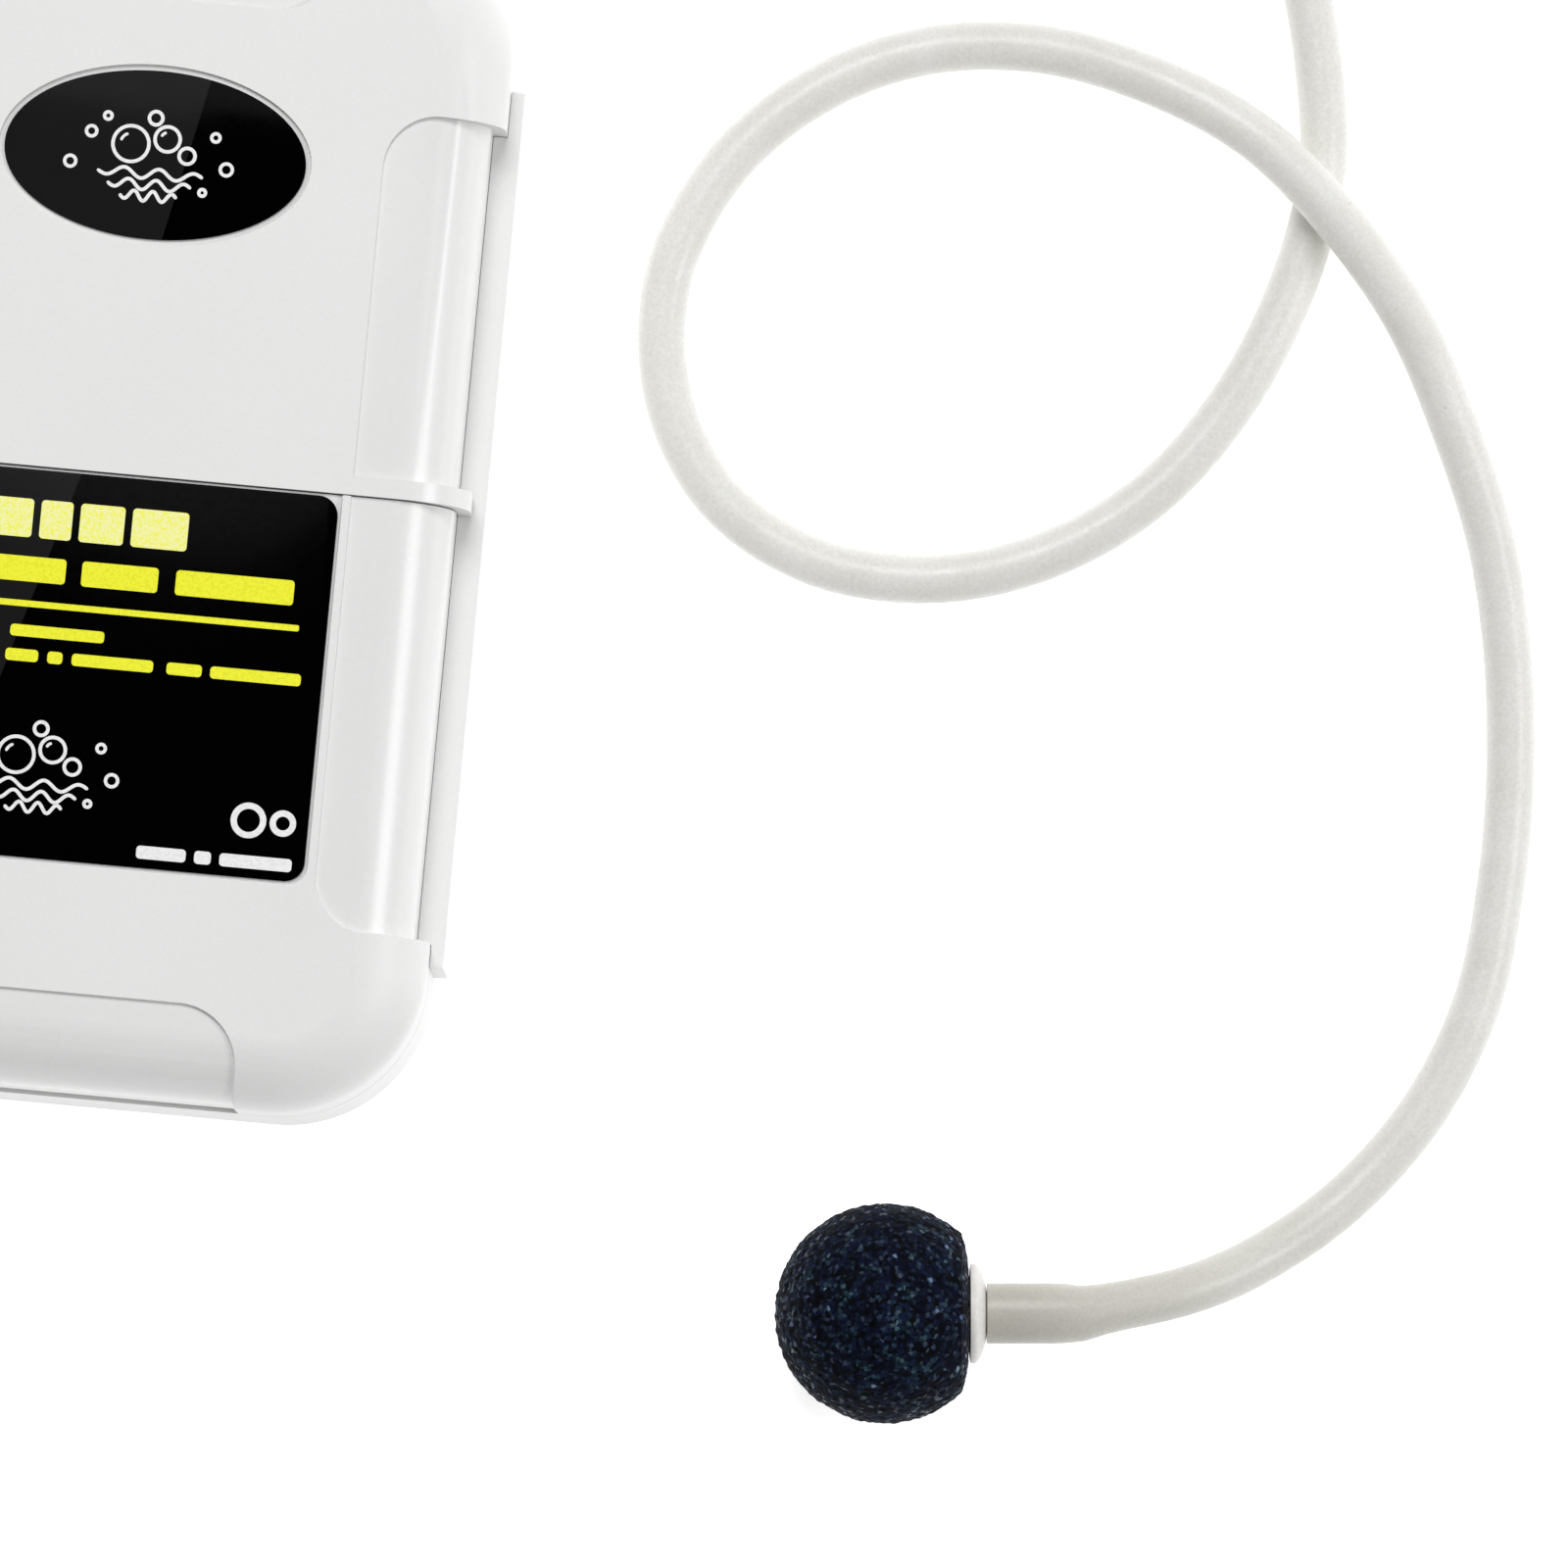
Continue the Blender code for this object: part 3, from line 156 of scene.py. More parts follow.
# Stone and its stem, along the stone's axis from its centre
STONE_CENTRE = Vector((99.2, -88.55, 13.45))
STONE_RADIUS = 13.4
STONE_FLAT = 10.2
STONE_SHOULDER = 9.3
STONE_SOCKET_RADIUS = 2.7
STONE_SOCKET_FLOOR = 3.2
STEM_COLLAR_RADIUS = 6.1
STEM_SHOULDER = 12.3
STEM_TIP = 23.5
STONE_AXIS = Vector((math.cos(PICTURE_ROLL), math.sin(PICTURE_ROLL), 0.0))


# -------- camera


def make_camera():
    """Looks down at the pump from a little beyond its foot, with the frame rolled about the view's axis."""
    away = Vector((-math.sin(PICTURE_ROLL), math.cos(PICTURE_ROLL), 0.0))
    right = Vector((math.cos(PICTURE_ROLL), math.sin(PICTURE_ROLL), 0.0))
    forward = away * math.sin(CAMERA_TILT) - Vector((0.0, 0.0, math.cos(CAMERA_TILT)))
    up = right.cross(forward)
    data = bpy.data.cameras.new("camera")
    data.sensor_width = 36.0
    data.lens = FOCAL_PIXELS / PICTURE_PIXELS * data.sensor_width
    data.clip_end = 20.0
    camera = bpy.data.objects.new("camera", data)
    bpy.context.scene.collection.objects.link(camera)
    turn = Matrix((right, up, -forward)).transposed().to_4x4()
    camera.matrix_world = Matrix.Translation(CAMERA_AIM - forward * CAMERA_DISTANCE) @ turn
    bpy.context.scene.camera = camera


make_camera()


# -------- material tools


def grey(level):
    return (level, level, level)


def scaled(colour, by):
    return tuple(c * by for c in colour)


class Paint:
    """A Principled material under construction, with short calls for its nodes."""

    def __init__(self, name, colour, roughness, metallic=0.0, specular=0.5):
        self.material = bpy.data.materials.new(name)
        self.material.use_nodes = True
        self.nodes = self.material.node_tree.nodes
        self.links = self.material.node_tree.links
        self.shader = self.nodes["Principled BSDF"]
        self.set("Base Color", (*colour, 1.0))
        self.set("Roughness", roughness)
        self.set("Metallic", metallic)
        self.set("Specular IOR Level", specular)
        self.place = self.add("ShaderNodeTexCoord").outputs["Object"]

    def feed(self, socket, value):
        """Links a node's output to a socket, or sets the socket to a plain value."""
        if hasattr(value, "is_output"):
            self.links.new(value, socket)
        else:
            socket.default_value = value

    def set(self, socket, value):
        """Gives one of the shader's own sockets a value or another node's output."""
        self.feed(self.shader.inputs[socket], value)

    def add(self, kind, **inputs):
        node = self.nodes.new(kind)
        for key, value in inputs.items():
            self.feed(node.inputs[key], value)
        return node

    def operate(self, kind, operation, *values):
        node = self.nodes.new(kind)
        node.operation = operation
        for socket, value in zip(node.inputs, values):
            self.feed(socket, value)
        return node.outputs

    def math(self, operation, first, second):
        return self.operate("ShaderNodeMath", operation, first, second)["Value"]

    def noise(self, grain_mm, detail=2.0, rough=0.5, place=None, output="Fac"):
        """Noise from about 0 to 1 whose features are about grain_mm across."""
        where = self.place if place is None else place
        scale = 1.0 / (grain_mm * MM)
        node = self.add("ShaderNodeTexNoise", Vector=where, Detail=detail, Roughness=rough, Scale=scale)
        return node.outputs[output]

    def cells(self, grain_mm, output="Color"):
        """Cells about grain_mm across: a random colour for each, or the distance from its middle."""
        node = self.add("ShaderNodeTexVoronoi", Vector=self.place, Scale=1.0 / (grain_mm * MM))
        return node.outputs[output]

    def ramp(self, value, *stops, constant=False):
        """Colours or greys by a value. A stop is (position, grey) or (position, (r, g, b))."""
        node = self.add("ShaderNodeValToRGB", Fac=value)
        node.color_ramp.interpolation = "CONSTANT" if constant else "LINEAR"
        elements = node.color_ramp.elements
        while len(elements) < len(stops):
            elements.new(1.0)
        for element, (position, colour) in zip(elements, stops):
            element.position = position
            colour = grey(colour) if isinstance(colour, float) else colour
            element.color = (*colour, 1.0)
        return node.outputs["Color"]

    def mix(self, part, first, second, blend="MIX"):
        """The second colour over the first, as far as part says; 0, 6 and 7 are a colour mix's sockets."""
        node = self.nodes.new("ShaderNodeMix")
        node.data_type = "RGBA"
        node.blend_type = blend
        for socket, value in ((0, part), (6, first), (7, second)):
            self.feed(node.inputs[socket], (*value, 1.0) if isinstance(value, tuple) else value)
        return node.outputs[2]

    def multiply(self, first, second):
        return self.mix(1.0, first, second, "MULTIPLY")

    def along(self, axis):
        """The place along one axis of the frame, in metres."""
        return self.add("ShaderNodeSeparateXYZ", Vector=self.place).outputs[axis]

    def bump(self, height, depth_mm):
        node = self.add("ShaderNodeBump", Height=height, Strength=1.0, Distance=depth_mm * MM)
        self.set("Normal", node.outputs["Normal"])


def moulded_plastic(name, colour, roughness, grain_mm=0.35, depth_mm=0.012, variation=0.035):
    """Spark-textured moulding: a fine grain, and slow changes of tone and gloss."""
    paint = Paint(name, colour, roughness)
    low, high = scaled(colour, 1.0 - variation), scaled(colour, 1.0 + variation)
    grain = paint.noise(grain_mm, 3.0, 0.6)
    slow = paint.noise(28.0)
    tone = paint.math("ADD", paint.math("MULTIPLY", grain, 0.6), paint.math("MULTIPLY", slow, 0.4))
    paint.set("Base Color", paint.ramp(tone, (0.35, low), (0.65, high)))
    paint.set("Roughness", paint.ramp(slow, (0.3, roughness * 0.92), (0.7, roughness * 1.08)))
    paint.bump(grain, depth_mm)
    return paint.material


def metal(name, colour, roughness, brushed_axis=None):
    """Metal with a fine drawn or tumbled grain and a little dulling."""
    paint = Paint(name, colour, roughness, metallic=1.0)
    if brushed_axis is None:
        grain = paint.noise(0.5, 4.0, 0.6)
    else:
        scale = [1.0, 1.0, 1.0]
        scale[brushed_axis] = 0.04
        stretch = paint.add("ShaderNodeMapping", Vector=paint.place, Scale=scale)
        grain = paint.noise(0.25, 3.0, place=stretch.outputs["Vector"])
    paint.set("Base Color", paint.ramp(paint.noise(4.0, 3.0), (0.35, scaled(colour, 0.72)), (0.6, colour)))
    paint.set("Roughness", paint.ramp(grain, (0.3, roughness * 0.8), (0.7, roughness * 1.3)))
    paint.bump(grain, 0.006)
    return paint.material


def glossy_label(name, edge_at, edge_slope):
    """Black gloss foil, with a painted reflection: a slightly lighter sheen left of a slanting edge."""
    paint = Paint(name, grey(0.0), 0.15, specular=0.01)
    slant = paint.math("MULTIPLY", paint.along(1), edge_slope)
    across = paint.math("SUBTRACT", paint.along(0), slant)
    right_side = paint.math("GREATER_THAN", across, edge_at * MM)
    # painted reflection: a slightly lighter sheen on the foil, left of the slanting edge
    painted_sheen = paint.ramp(paint.noise(6.0), (0.3, 0.0102), (0.7, 0.0114))
    paint.set("Base Color", paint.mix(right_side, painted_sheen, grey(0.0002)))
    paint.set("Roughness", paint.ramp(paint.noise(0.9, 3.0), (0.3, 0.12), (0.7, 0.18)))
    return paint.material


def print_ink(name, colour, edge_colour):
    paint = Paint(name, colour, 0.4, specular=0.2)
    paint.set("Base Color", paint.ramp(paint.noise(0.35), (0.38, edge_colour), (0.55, colour)))
    paint.set("Roughness", paint.ramp(paint.noise(0.8), (0.3, 0.35), (0.7, 0.5)))
    return paint.material


def silicone():
    """Milky, slightly dusty silicone: light goes some way in, and a few specks sit on it."""
    paint = Paint("milky_silicone", (0.80, 0.80, 0.775), 0.34)
    paint.set("Subsurface Weight", 0.6)
    paint.set("Subsurface Radius", (1.0, 1.0, 0.95))
    paint.set("Subsurface Scale", 0.002)
    paint.set("Transmission Weight", 0.12)
    paint.set("IOR", 1.41)
    haze = paint.ramp(paint.noise(7.0), (0.32, (0.815, 0.805, 0.765)), (0.68, (0.865, 0.855, 0.82)))
    # the hose's colour turns darker and warmer towards the stone
    apart = paint.operate("ShaderNodeVectorMath", "DISTANCE", paint.place, STONE_CENTRE * MM)["Value"]
    near_stone_tone = paint.ramp(paint.math("MULTIPLY", apart, 10.0), (0.12, 1.0), (0.30, 0.6), (0.75, 0.0))
    haze = paint.mix(near_stone_tone, haze, (0.52, 0.505, 0.455))
    grain = paint.ramp(paint.noise(0.45, 3.0, 0.7), (0.30, (0.92, 0.92, 0.91)), (0.70, (1.07, 1.07, 1.06)))
    haze = paint.multiply(haze, grain)
    specks = paint.ramp(paint.cells(2.6, "Distance"), (0.028, 1.0), (0.045, 0.0))
    rare = paint.ramp(paint.noise(9.0), (0.56, 0.0), (0.60, 1.0))
    dirt = paint.math("MULTIPLY", specks, rare)
    paint.set("Base Color", paint.mix(dirt, haze, (0.36, 0.34, 0.30)))
    paint.set("Roughness", paint.ramp(paint.noise(1.6), (0.3, 0.28), (0.7, 0.42)))
    paint.bump(paint.noise(2.2), 0.01)
    return paint.material


def sintered_stone():
    """Fused dark grains: navy, teal and black ones in drifts, painted shade darkening the pits between them,
    and a few bright ones.
    """
    paint = Paint("sintered_stone", (0.006, 0.010, 0.018), 0.6, specular=0.06)
    jitter = paint.noise(0.5, 1.0, output="Color")
    reach = Vector(grey(0.0004))
    paint.place = paint.operate("ShaderNodeVectorMath", "MULTIPLY_ADD", jitter, reach, paint.place)["Vector"]
    picked = paint.add("ShaderNodeSeparateColor", Color=paint.cells(0.52)).outputs["Red"]
    colours = paint.ramp(
        picked,
        (0.00, (0.0007, 0.0012, 0.0026)),
        (0.26, (0.002, 0.0032, 0.011)),
        (0.48, (0.004, 0.007, 0.023)),
        (0.68, (0.0075, 0.0165, 0.03)),
        (0.84, (0.015, 0.029, 0.048)),
        (0.94, (0.03, 0.048, 0.07)),
        (0.99, (0.10, 0.14, 0.22)),
        constant=True,
    )
    drifts = paint.ramp(
        paint.noise(3.2),
        (0.36, (0.50, 0.42, 0.62)),
        (0.50, (0.95, 0.95, 1.15)),
        (0.64, (1.45, 1.75, 1.45)),
    )
    # painted shade: the pits between the grains are darkened to near black
    pits = paint.ramp(paint.cells(0.52, "Distance"), (0.48, 1.0), (0.74, 0.25))
    pit_shaded_grains = paint.mix(pits, (0.0008, 0.0012, 0.0022), paint.multiply(colours, drifts))
    paint.set("Base Color", pit_shaded_grains)
    paint.set("Roughness", paint.ramp(picked, (0.80, 0.75), (0.97, 0.25)))
    paint.bump(paint.cells(0.7, "Distance"), 0.10)
    return paint.material


def soft_matt(name, colour, roughness, grain_mm, depth_mm):
    """Rubber, foam and ferrite: a pitted matt surface with uneven tone."""
    paint = Paint(name, colour, roughness, specular=0.3)
    pits = paint.noise(grain_mm, 4.0, 0.65)
    paint.set("Base Color", paint.ramp(pits, (0.34, scaled(colour, 0.55)), (0.66, scaled(colour, 1.45))))
    paint.set("Roughness", paint.ramp(pits, (0.3, roughness * 0.9), (0.7, min(1.0, roughness * 1.08))))
    paint.bump(pits, depth_mm)
    return paint.material


def battery_jacket(name, nub_y, direction):
    """A foil sleeve: a copper band at the positive end, a dark body, and slight scuffs."""
    paint = Paint(name, (0.02, 0.02, 0.025), 0.28, metallic=0.6)
    from_nub = paint.math("SUBTRACT", nub_y * MM, paint.along(1))
    down = paint.math("MULTIPLY", from_nub, direction / (CELL_LENGTH * MM))
    band = paint.ramp(
        down,
        (0.00, (0.62, 0.34, 0.16)),
        (0.270, (0.66, 0.37, 0.18)),
        (0.272, (0.70, 0.70, 0.68)),
        (0.290, (0.70, 0.70, 0.68)),
        (0.292, (0.018, 0.018, 0.022)),
        (0.960, (0.024, 0.024, 0.028)),
        (0.965, (0.45, 0.45, 0.46)),
    )
    scuffs = paint.ramp(paint.noise(2.0, 5.0), (0.64, 0.0), (0.8, 0.3))
    paint.set("Base Color", paint.mix(scuffs, band, (0.3, 0.3, 0.31)))
    paint.set("Roughness", paint.ramp(paint.noise(0.7, 4.0), (0.3, 0.22), (0.7, 0.42)))
    paint.bump(paint.noise(0.9), 0.008)
    return paint.material


def find_cell(node, way):
    """A cell's node, the end of its nub (x, y, z), and which way along Y the nub points."""
    low, high = cad_box(node)
    middle = (low + high) / 2
    return node, (middle.x, high.y if way > 0 else low.y, middle.z), way


CELLS = [find_cell("battery_1", 1), find_cell("battery_2", -1)]

PAINTS = {
    "housing": moulded_plastic("white_abs", (0.775, 0.775, 0.77), 0.46, 0.35, 0.010, 0.02),
    "gloss_housing": moulded_plastic("polished_white_abs", (0.765, 0.765, 0.76), 0.27, 0.8, 0.004, 0.015),
    "dark_plastic": moulded_plastic("black_abs", (0.028, 0.028, 0.031), 0.45),
    "nylon": moulded_plastic("natural_nylon", (0.72, 0.71, 0.66), 0.38, 0.5, 0.008),
    "stem": moulded_plastic("white_stem", (0.70, 0.685, 0.66), 0.4, 0.6, 0.02, 0.10),
    "steel": metal("plated_steel", (0.62, 0.62, 0.63), 0.30),
    "drawn_steel": metal("drawn_steel", (0.58, 0.58, 0.59), 0.28, 0),
    "brass": metal("brass", (0.78, 0.60, 0.28), 0.30),
    "copper": metal("copper", (0.72, 0.36, 0.22), 0.34),
    "ferrite": soft_matt("ferrite", (0.05, 0.05, 0.055), 0.62, 0.4, 0.02),
    "rubber": soft_matt("rubber", (0.02, 0.02, 0.022), 0.8, 0.6, 0.02),
    "foam": soft_matt("foam", (0.10, 0.10, 0.11), 0.95, 1.1, 0.25),
    "silicone": silicone(),
    "red_wire": moulded_plastic("red_pvc", (0.50, 0.02, 0.02), 0.42, 0.8, 0.006, 0.08),
    "black_wire": moulded_plastic("black_pvc", (0.02, 0.02, 0.02), 0.42, 0.8, 0.006, 0.08),
    "stone": sintered_stone(),
    "oval_foil": glossy_label("oval_foil", -4.42, 0.2085),
    "door_foil": glossy_label("door_foil", -5.30, 0.2945),
    "white_ink": print_ink("white_ink", grey(0.88), grey(0.78)),
    "yellow_ink": print_ink("yellow_ink", (0.90, 0.90, 0.03), (0.80, 0.80, 0.02)),
    "headline_ink": print_ink("headline_ink", (0.92, 0.92, 0.42), (0.90, 0.90, 0.12)),
}
for number, (_, nub, nub_way) in enumerate(CELLS, 1):
    PAINTS[f"cell_sleeve_{number}"] = battery_jacket(f"cell_sleeve_{number}", nub[1], nub_way)


def dress(obj, paint):
    obj.data.materials.clear()
    obj.data.materials.append(PAINTS[paint])
    return obj


# -------- mesh tools


def mesh_object(name, bm):
    """An object in metres from a bmesh in millimetres."""
    bmesh.ops.scale(bm, vec=(MM, MM, MM), verts=bm.verts)
    bmesh.ops.recalc_face_normals(bm, faces=bm.faces)
    mesh = bpy.data.meshes.new(name)
    bm.to_mesh(mesh)
    bm.free()
    obj = bpy.data.objects.new(name, mesh)
    bpy.context.scene.collection.objects.link(obj)
    return obj


def settle(obj):
    """Makes an object's modifiers part of its mesh."""
    graph = bpy.context.evaluated_depsgraph_get()
    mesh = bpy.data.meshes.new_from_object(obj.evaluated_get(graph))
    obj.modifiers.clear()
    obj.data = mesh
    return obj


def combine(obj, others, operation):
    for other in others:
        modifier = obj.modifiers.new(operation.lower(), "BOOLEAN")
        modifier.operation = operation
        modifier.object = other
        modifier.solver = "EXACT"


def cut(obj, *others):
    combine(obj, others, "DIFFERENCE")


def join(obj, *others):
    combine(obj, others, "UNION")


def shade(obj, angle=32.0):
    """Smooth shading that stops at edges sharper than angle."""
    obj.data.polygons.foreach_set("use_smooth", [True] * len(obj.data.polygons))
    obj.data.set_sharp_from_angle(angle=math.radians(angle))
    return obj


def soften(obj):
    """Rounds the cut edges a little, and shades the rest smooth."""
    bevel = obj.modifiers.new("edge", "BEVEL")
    bevel.width = EDGE_ROUND * MM
    bevel.segments = 2
    bevel.limit_method = "ANGLE"
    bevel.angle_limit = math.radians(32.0)
    bevel.miter_outer = "MITER_ARC"
    bevel.use_clamp_overlap = True
    settle(obj)
    shade(obj, 40.0)
    weighted = obj.modifiers.new("normals", "WEIGHTED_NORMAL")
    weighted.keep_sharp = True
    return settle(obj)


def arc(x, y, half_x, half_y, start, end, steps):
    """Points from one angle to another round a circle or an ellipse."""
    angles = [start + (end - start) * i / steps for i in range(steps + 1)]
    return [(x + half_x * math.cos(a), y + half_y * math.sin(a)) for a in angles]


def circle(x, y, half_x, half_y, steps):
    return arc(x, y, half_x, half_y, 0.0, 2 * math.pi, steps)[:-1]


def box_mesh(low, high):
    bm = bmesh.new()
    bmesh.ops.create_cube(bm, size=1.0)
    size = [b - a for a, b in zip(low, high)]
    centre = [(a + b) / 2 for a, b in zip(low, high)]
    bmesh.ops.scale(bm, vec=size, verts=bm.verts)
    bmesh.ops.translate(bm, vec=centre, verts=bm.verts)
    return bm


def box(name, low, high):
    return mesh_object(name, box_mesh(low, high))


def edges_along(bm, axis):
    return [e for e in bm.edges if abs((e.verts[0].co - e.verts[1].co).normalized()[axis]) > 0.99]


def rim_edges(bm, height):
    return [e for e in bm.edges if all(abs(v.co.z - height) < 1e-4 for v in e.verts)]


def round_edges(bm, edges, radius, facets):
    bmesh.ops.bevel(bm, geom=edges, offset=radius, segments=facets, profile=0.5, affect="EDGES")


def rounded_block(name, low, high, corner, front=0.0, back=0.0):
    """A box with round upright edges, and round rims at its front and its back."""
    bm = box_mesh(low, high)
    round_edges(bm, edges_along(bm, 2), corner, CORNER_FACETS)
    if front:
        round_edges(bm, rim_edges(bm, high[2]), front, FILLET_FACETS)
    if back:
        round_edges(bm, rim_edges(bm, low[2]), back, FILLET_FACETS)
    return mesh_object(name, bm)


def facing(axis):
    """The turn that takes +Z to an axis."""
    return Vector((0, 0, 1)).rotation_difference(Vector(axis)).to_matrix().to_4x4()


def round_bar(name, start, end, radius, sides=48, squash=1.0):
    """A cylinder or an ellipse between two points."""
    bm = bmesh.new()
    start, end = Vector(start), Vector(end)
    length = (end - start).length
    bmesh.ops.create_cone(bm, cap_ends=True, segments=sides, radius1=radius, radius2=radius, depth=length)
    bmesh.ops.scale(bm, vec=(1.0, squash, 1.0), verts=bm.verts)
    to_place = Matrix.Translation((start + end) / 2) @ facing(end - start)
    bmesh.ops.transform(bm, matrix=to_place, verts=bm.verts)
    return mesh_object(name, bm)


def turned(name, profile, origin, axis, steps):
    """Turns (radius, height) points about an axis through origin. A radius of 0 closes the body there."""
    bm = bmesh.new()
    to_place = Matrix.Translation(Vector(origin)) @ facing(axis)
    rings = []
    for radius, height in profile:
        if radius < 1e-6:
            rings.append([bm.verts.new(to_place @ Vector((0.0, 0.0, height)))])
            continue
        points = circle(0.0, 0.0, radius, radius, steps)
        rings.append([bm.verts.new(to_place @ Vector((x, y, height))) for x, y in points])
    closed = len(rings[0]) > 1
    pairs = list(zip(rings, rings[1:]))
    if closed:
        pairs.append((rings[-1], rings[0]))
    for a, b in pairs:
        for i in range(steps):
            j = (i + 1) % steps
            corners = [a[i % len(a)], a[j % len(a)], b[j % len(b)], b[i % len(b)]]
            unique = list(dict.fromkeys(corners))
            if len(unique) > 2:
                bm.faces.new(unique)
    return mesh_object(name, bm)


def mirrored(obj):
    """Adds the same shape on the other side of the middle."""
    modifier = obj.modifiers.new("mirror", "MIRROR")
    modifier.use_axis = (True, False, False)
    modifier.use_mirror_merge = False
    return obj


def drop(*objects):
    """Removes shapes that were only there to cut or join."""
    for obj in objects:
        bpy.data.objects.remove(obj, do_unlink=True)


def lengths_along(points):
    """How far along a line of points each of them is."""
    lengths = [0.0]
    for p, q in zip(points, points[1:]):
        lengths.append(lengths[-1] + (q - p).length)
    return lengths


def smooth_route(route, step):
    """Even points along a Catmull-Rom curve through the route's points."""
    knots = [Vector(p) for p in route]
    knots = [2 * knots[0] - knots[1], *knots, 2 * knots[-1] - knots[-2]]
    fine = []
    for a, b, c, d in zip(knots, knots[1:], knots[2:], knots[3:]):
        for i in range(24):
            t = i / 24
            bend = (2 * a - 5 * b + 4 * c - d) * t * t + (3 * b - 3 * c + d - a) * t ** 3
            fine.append(0.5 * (2 * b + (c - a) * t + bend))
    fine.append(knots[-2])
    lengths = lengths_along(fine)
    count = max(2, round(lengths[-1] / step))
    points = []
    index = 0
    for k in range(count + 1):
        target = lengths[-1] * k / count
        while index < len(fine) - 2 and lengths[index + 1] < target:
            index += 1
        part = (target - lengths[index]) / (lengths[index + 1] - lengths[index])
        points.append(fine[index].lerp(fine[index + 1], part))
    return points


def place_piece(obj, paint, body, slot, *nodes):
    """Gives a finished piece its material and its body, and hides the CAD nodes that it stands for."""
    dress(obj, paint)
    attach(obj, body)
    if nodes:
        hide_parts(*nodes)
    return obj


# -------- air hose


def stone_point(along):
    return STONE_CENTRE + STONE_AXIS * along


def hose_path():
    """The centreline in metres: over the nipple's barbs, along the route, and over the stem's barbs."""
    nipple_tip = Vector(HOSE_ROUTE[0])
    start = nipple_tip - Vector((0.0, NIPPLE_COVERED * MM, 0.0))
    stem_tip = stone_point(STEM_TIP + GAP) * MM
    end = stone_point(STEM_SHOULDER) * MM
    middle = smooth_route([*HOSE_ROUTE, stem_tip], HOSE_STEP * MM)
    head = [start.lerp(nipple_tip, i / 5) for i in range(5)]
    return [*head, *middle, *(stem_tip.lerp(end, i / 6) for i in range(1, 7))]


def make_hose():
    """A hollow tube, stretched over the barbs at its two ends, with the slight waver of soft silicone."""
    points = hose_path()
    lengths = lengths_along(points)
    bm = bmesh.new()
    up = Vector((0.0, 0.0, 1.0))
    outer_rings, inner_rings = [], []
    for i, point in enumerate(points):
        forward = (points[min(i + 1, len(points) - 1)] - points[max(i - 1, 0)]).normalized()
        across = forward.cross(up).normalized()
        lift = across.cross(forward)
        from_end = min(lengths[i], lengths[-1] - lengths[i]) / MM
        over_barb = 1.0 - min(1.0, max(0.0, (from_end - BARB_LENGTH) / BARB_LENGTH))
        over_barb = over_barb * over_barb * (3.0 - 2.0 * over_barb)
        waver = HOSE_WAVER * noise.noise(Vector((lengths[i] * 60.0, 0.3, 0.7)))
        outer = HOSE_RADIUS + waver + BARB_STRETCH * over_barb
        inner = HOSE_BORE_RADIUS + BARB_BORE_STRETCH * over_barb
        for rings, radius in ((outer_rings, outer), (inner_rings, inner)):
            spokes = circle(0.0, 0.0, radius, radius, HOSE_SIDES)
            rings.append([bm.verts.new(point / MM + across * u + lift * v) for u, v in spokes])
    corners = [(k, (k + 1) % HOSE_SIDES) for k in range(HOSE_SIDES)]
    for rings in (outer_rings, inner_rings):
        for a, b in zip(rings, rings[1:]):
            for k, j in corners:
                bm.faces.new((a[k], a[j], b[j], b[k]))
    for end in (0, -1):
        outer, inner = outer_rings[end], inner_rings[end]
        for k, j in corners:
            bm.faces.new((outer[k], outer[j], inner[j], inner[k]))
    hose = shade(mesh_object("hose", bm), 60.0)
    place_piece(hose, "silicone", "pump", "silicone", "air_hose")
    return hose, points, lengths[-1]


hose, hose_points, hose_length = make_hose()


# -------- air stone and stem


def make_stone():
    """The ball of fused grains. Its surface stays within the moulded radius, with a flat round the stem."""
    columns, rows = 240, 120
    shoulder = math.acos(STONE_SHOULDER / STONE_RADIUS)
    face = STONE_FLAT - 0.05
    face_radius = 6.3
    socket = STONE_SOCKET_RADIUS
    profile = [(0.0, STONE_SOCKET_FLOOR), (socket, STONE_SOCKET_FLOOR), (socket, face)]
    profile += [(socket + (face_radius - socket) * i / 8, face) for i in range(1, 9)]
    profile += [(6.8, 10.08), (7.3, 9.99), (7.8, 9.88), (8.3, 9.75), (8.8, 9.6), (9.25, 9.45)]
    for i in range(rows):
        angle = shoulder + (math.pi - shoulder) * i / rows
        profile.append((STONE_RADIUS * math.sin(angle), STONE_RADIUS * math.cos(angle)))
    profile.append((0.0, -STONE_RADIUS))
    stone = turned("stone_ball", profile, (0, 0, 0), STONE_AXIS, columns)
    mesh = stone.data
    place = np.array([v.co for v in mesh.vertices]) / MM
    radial = np.linalg.norm(place, axis=1)
    socket_reach = 9.0
    for i, (point, distance) in enumerate(zip(place, radial)):
        if distance < socket_reach:
            continue
        where = Vector(point)
        grains = noise.voronoi(where / 1.1)[0][0]
        lumps = noise.noise(where / 3.4)
        fine = noise.noise(where / 0.6)
        depth = 0.32 * grains - 0.10 * lumps + 0.08 * fine
        place[i] *= (distance - max(0.0, depth)) / distance
    place += np.array(STONE_CENTRE)
    mesh.vertices.foreach_set("co", (place * MM).ravel())
    mesh.update()
    return place_piece(shade(stone, 70.0), "stone", "pump", "stone", "air_stone")


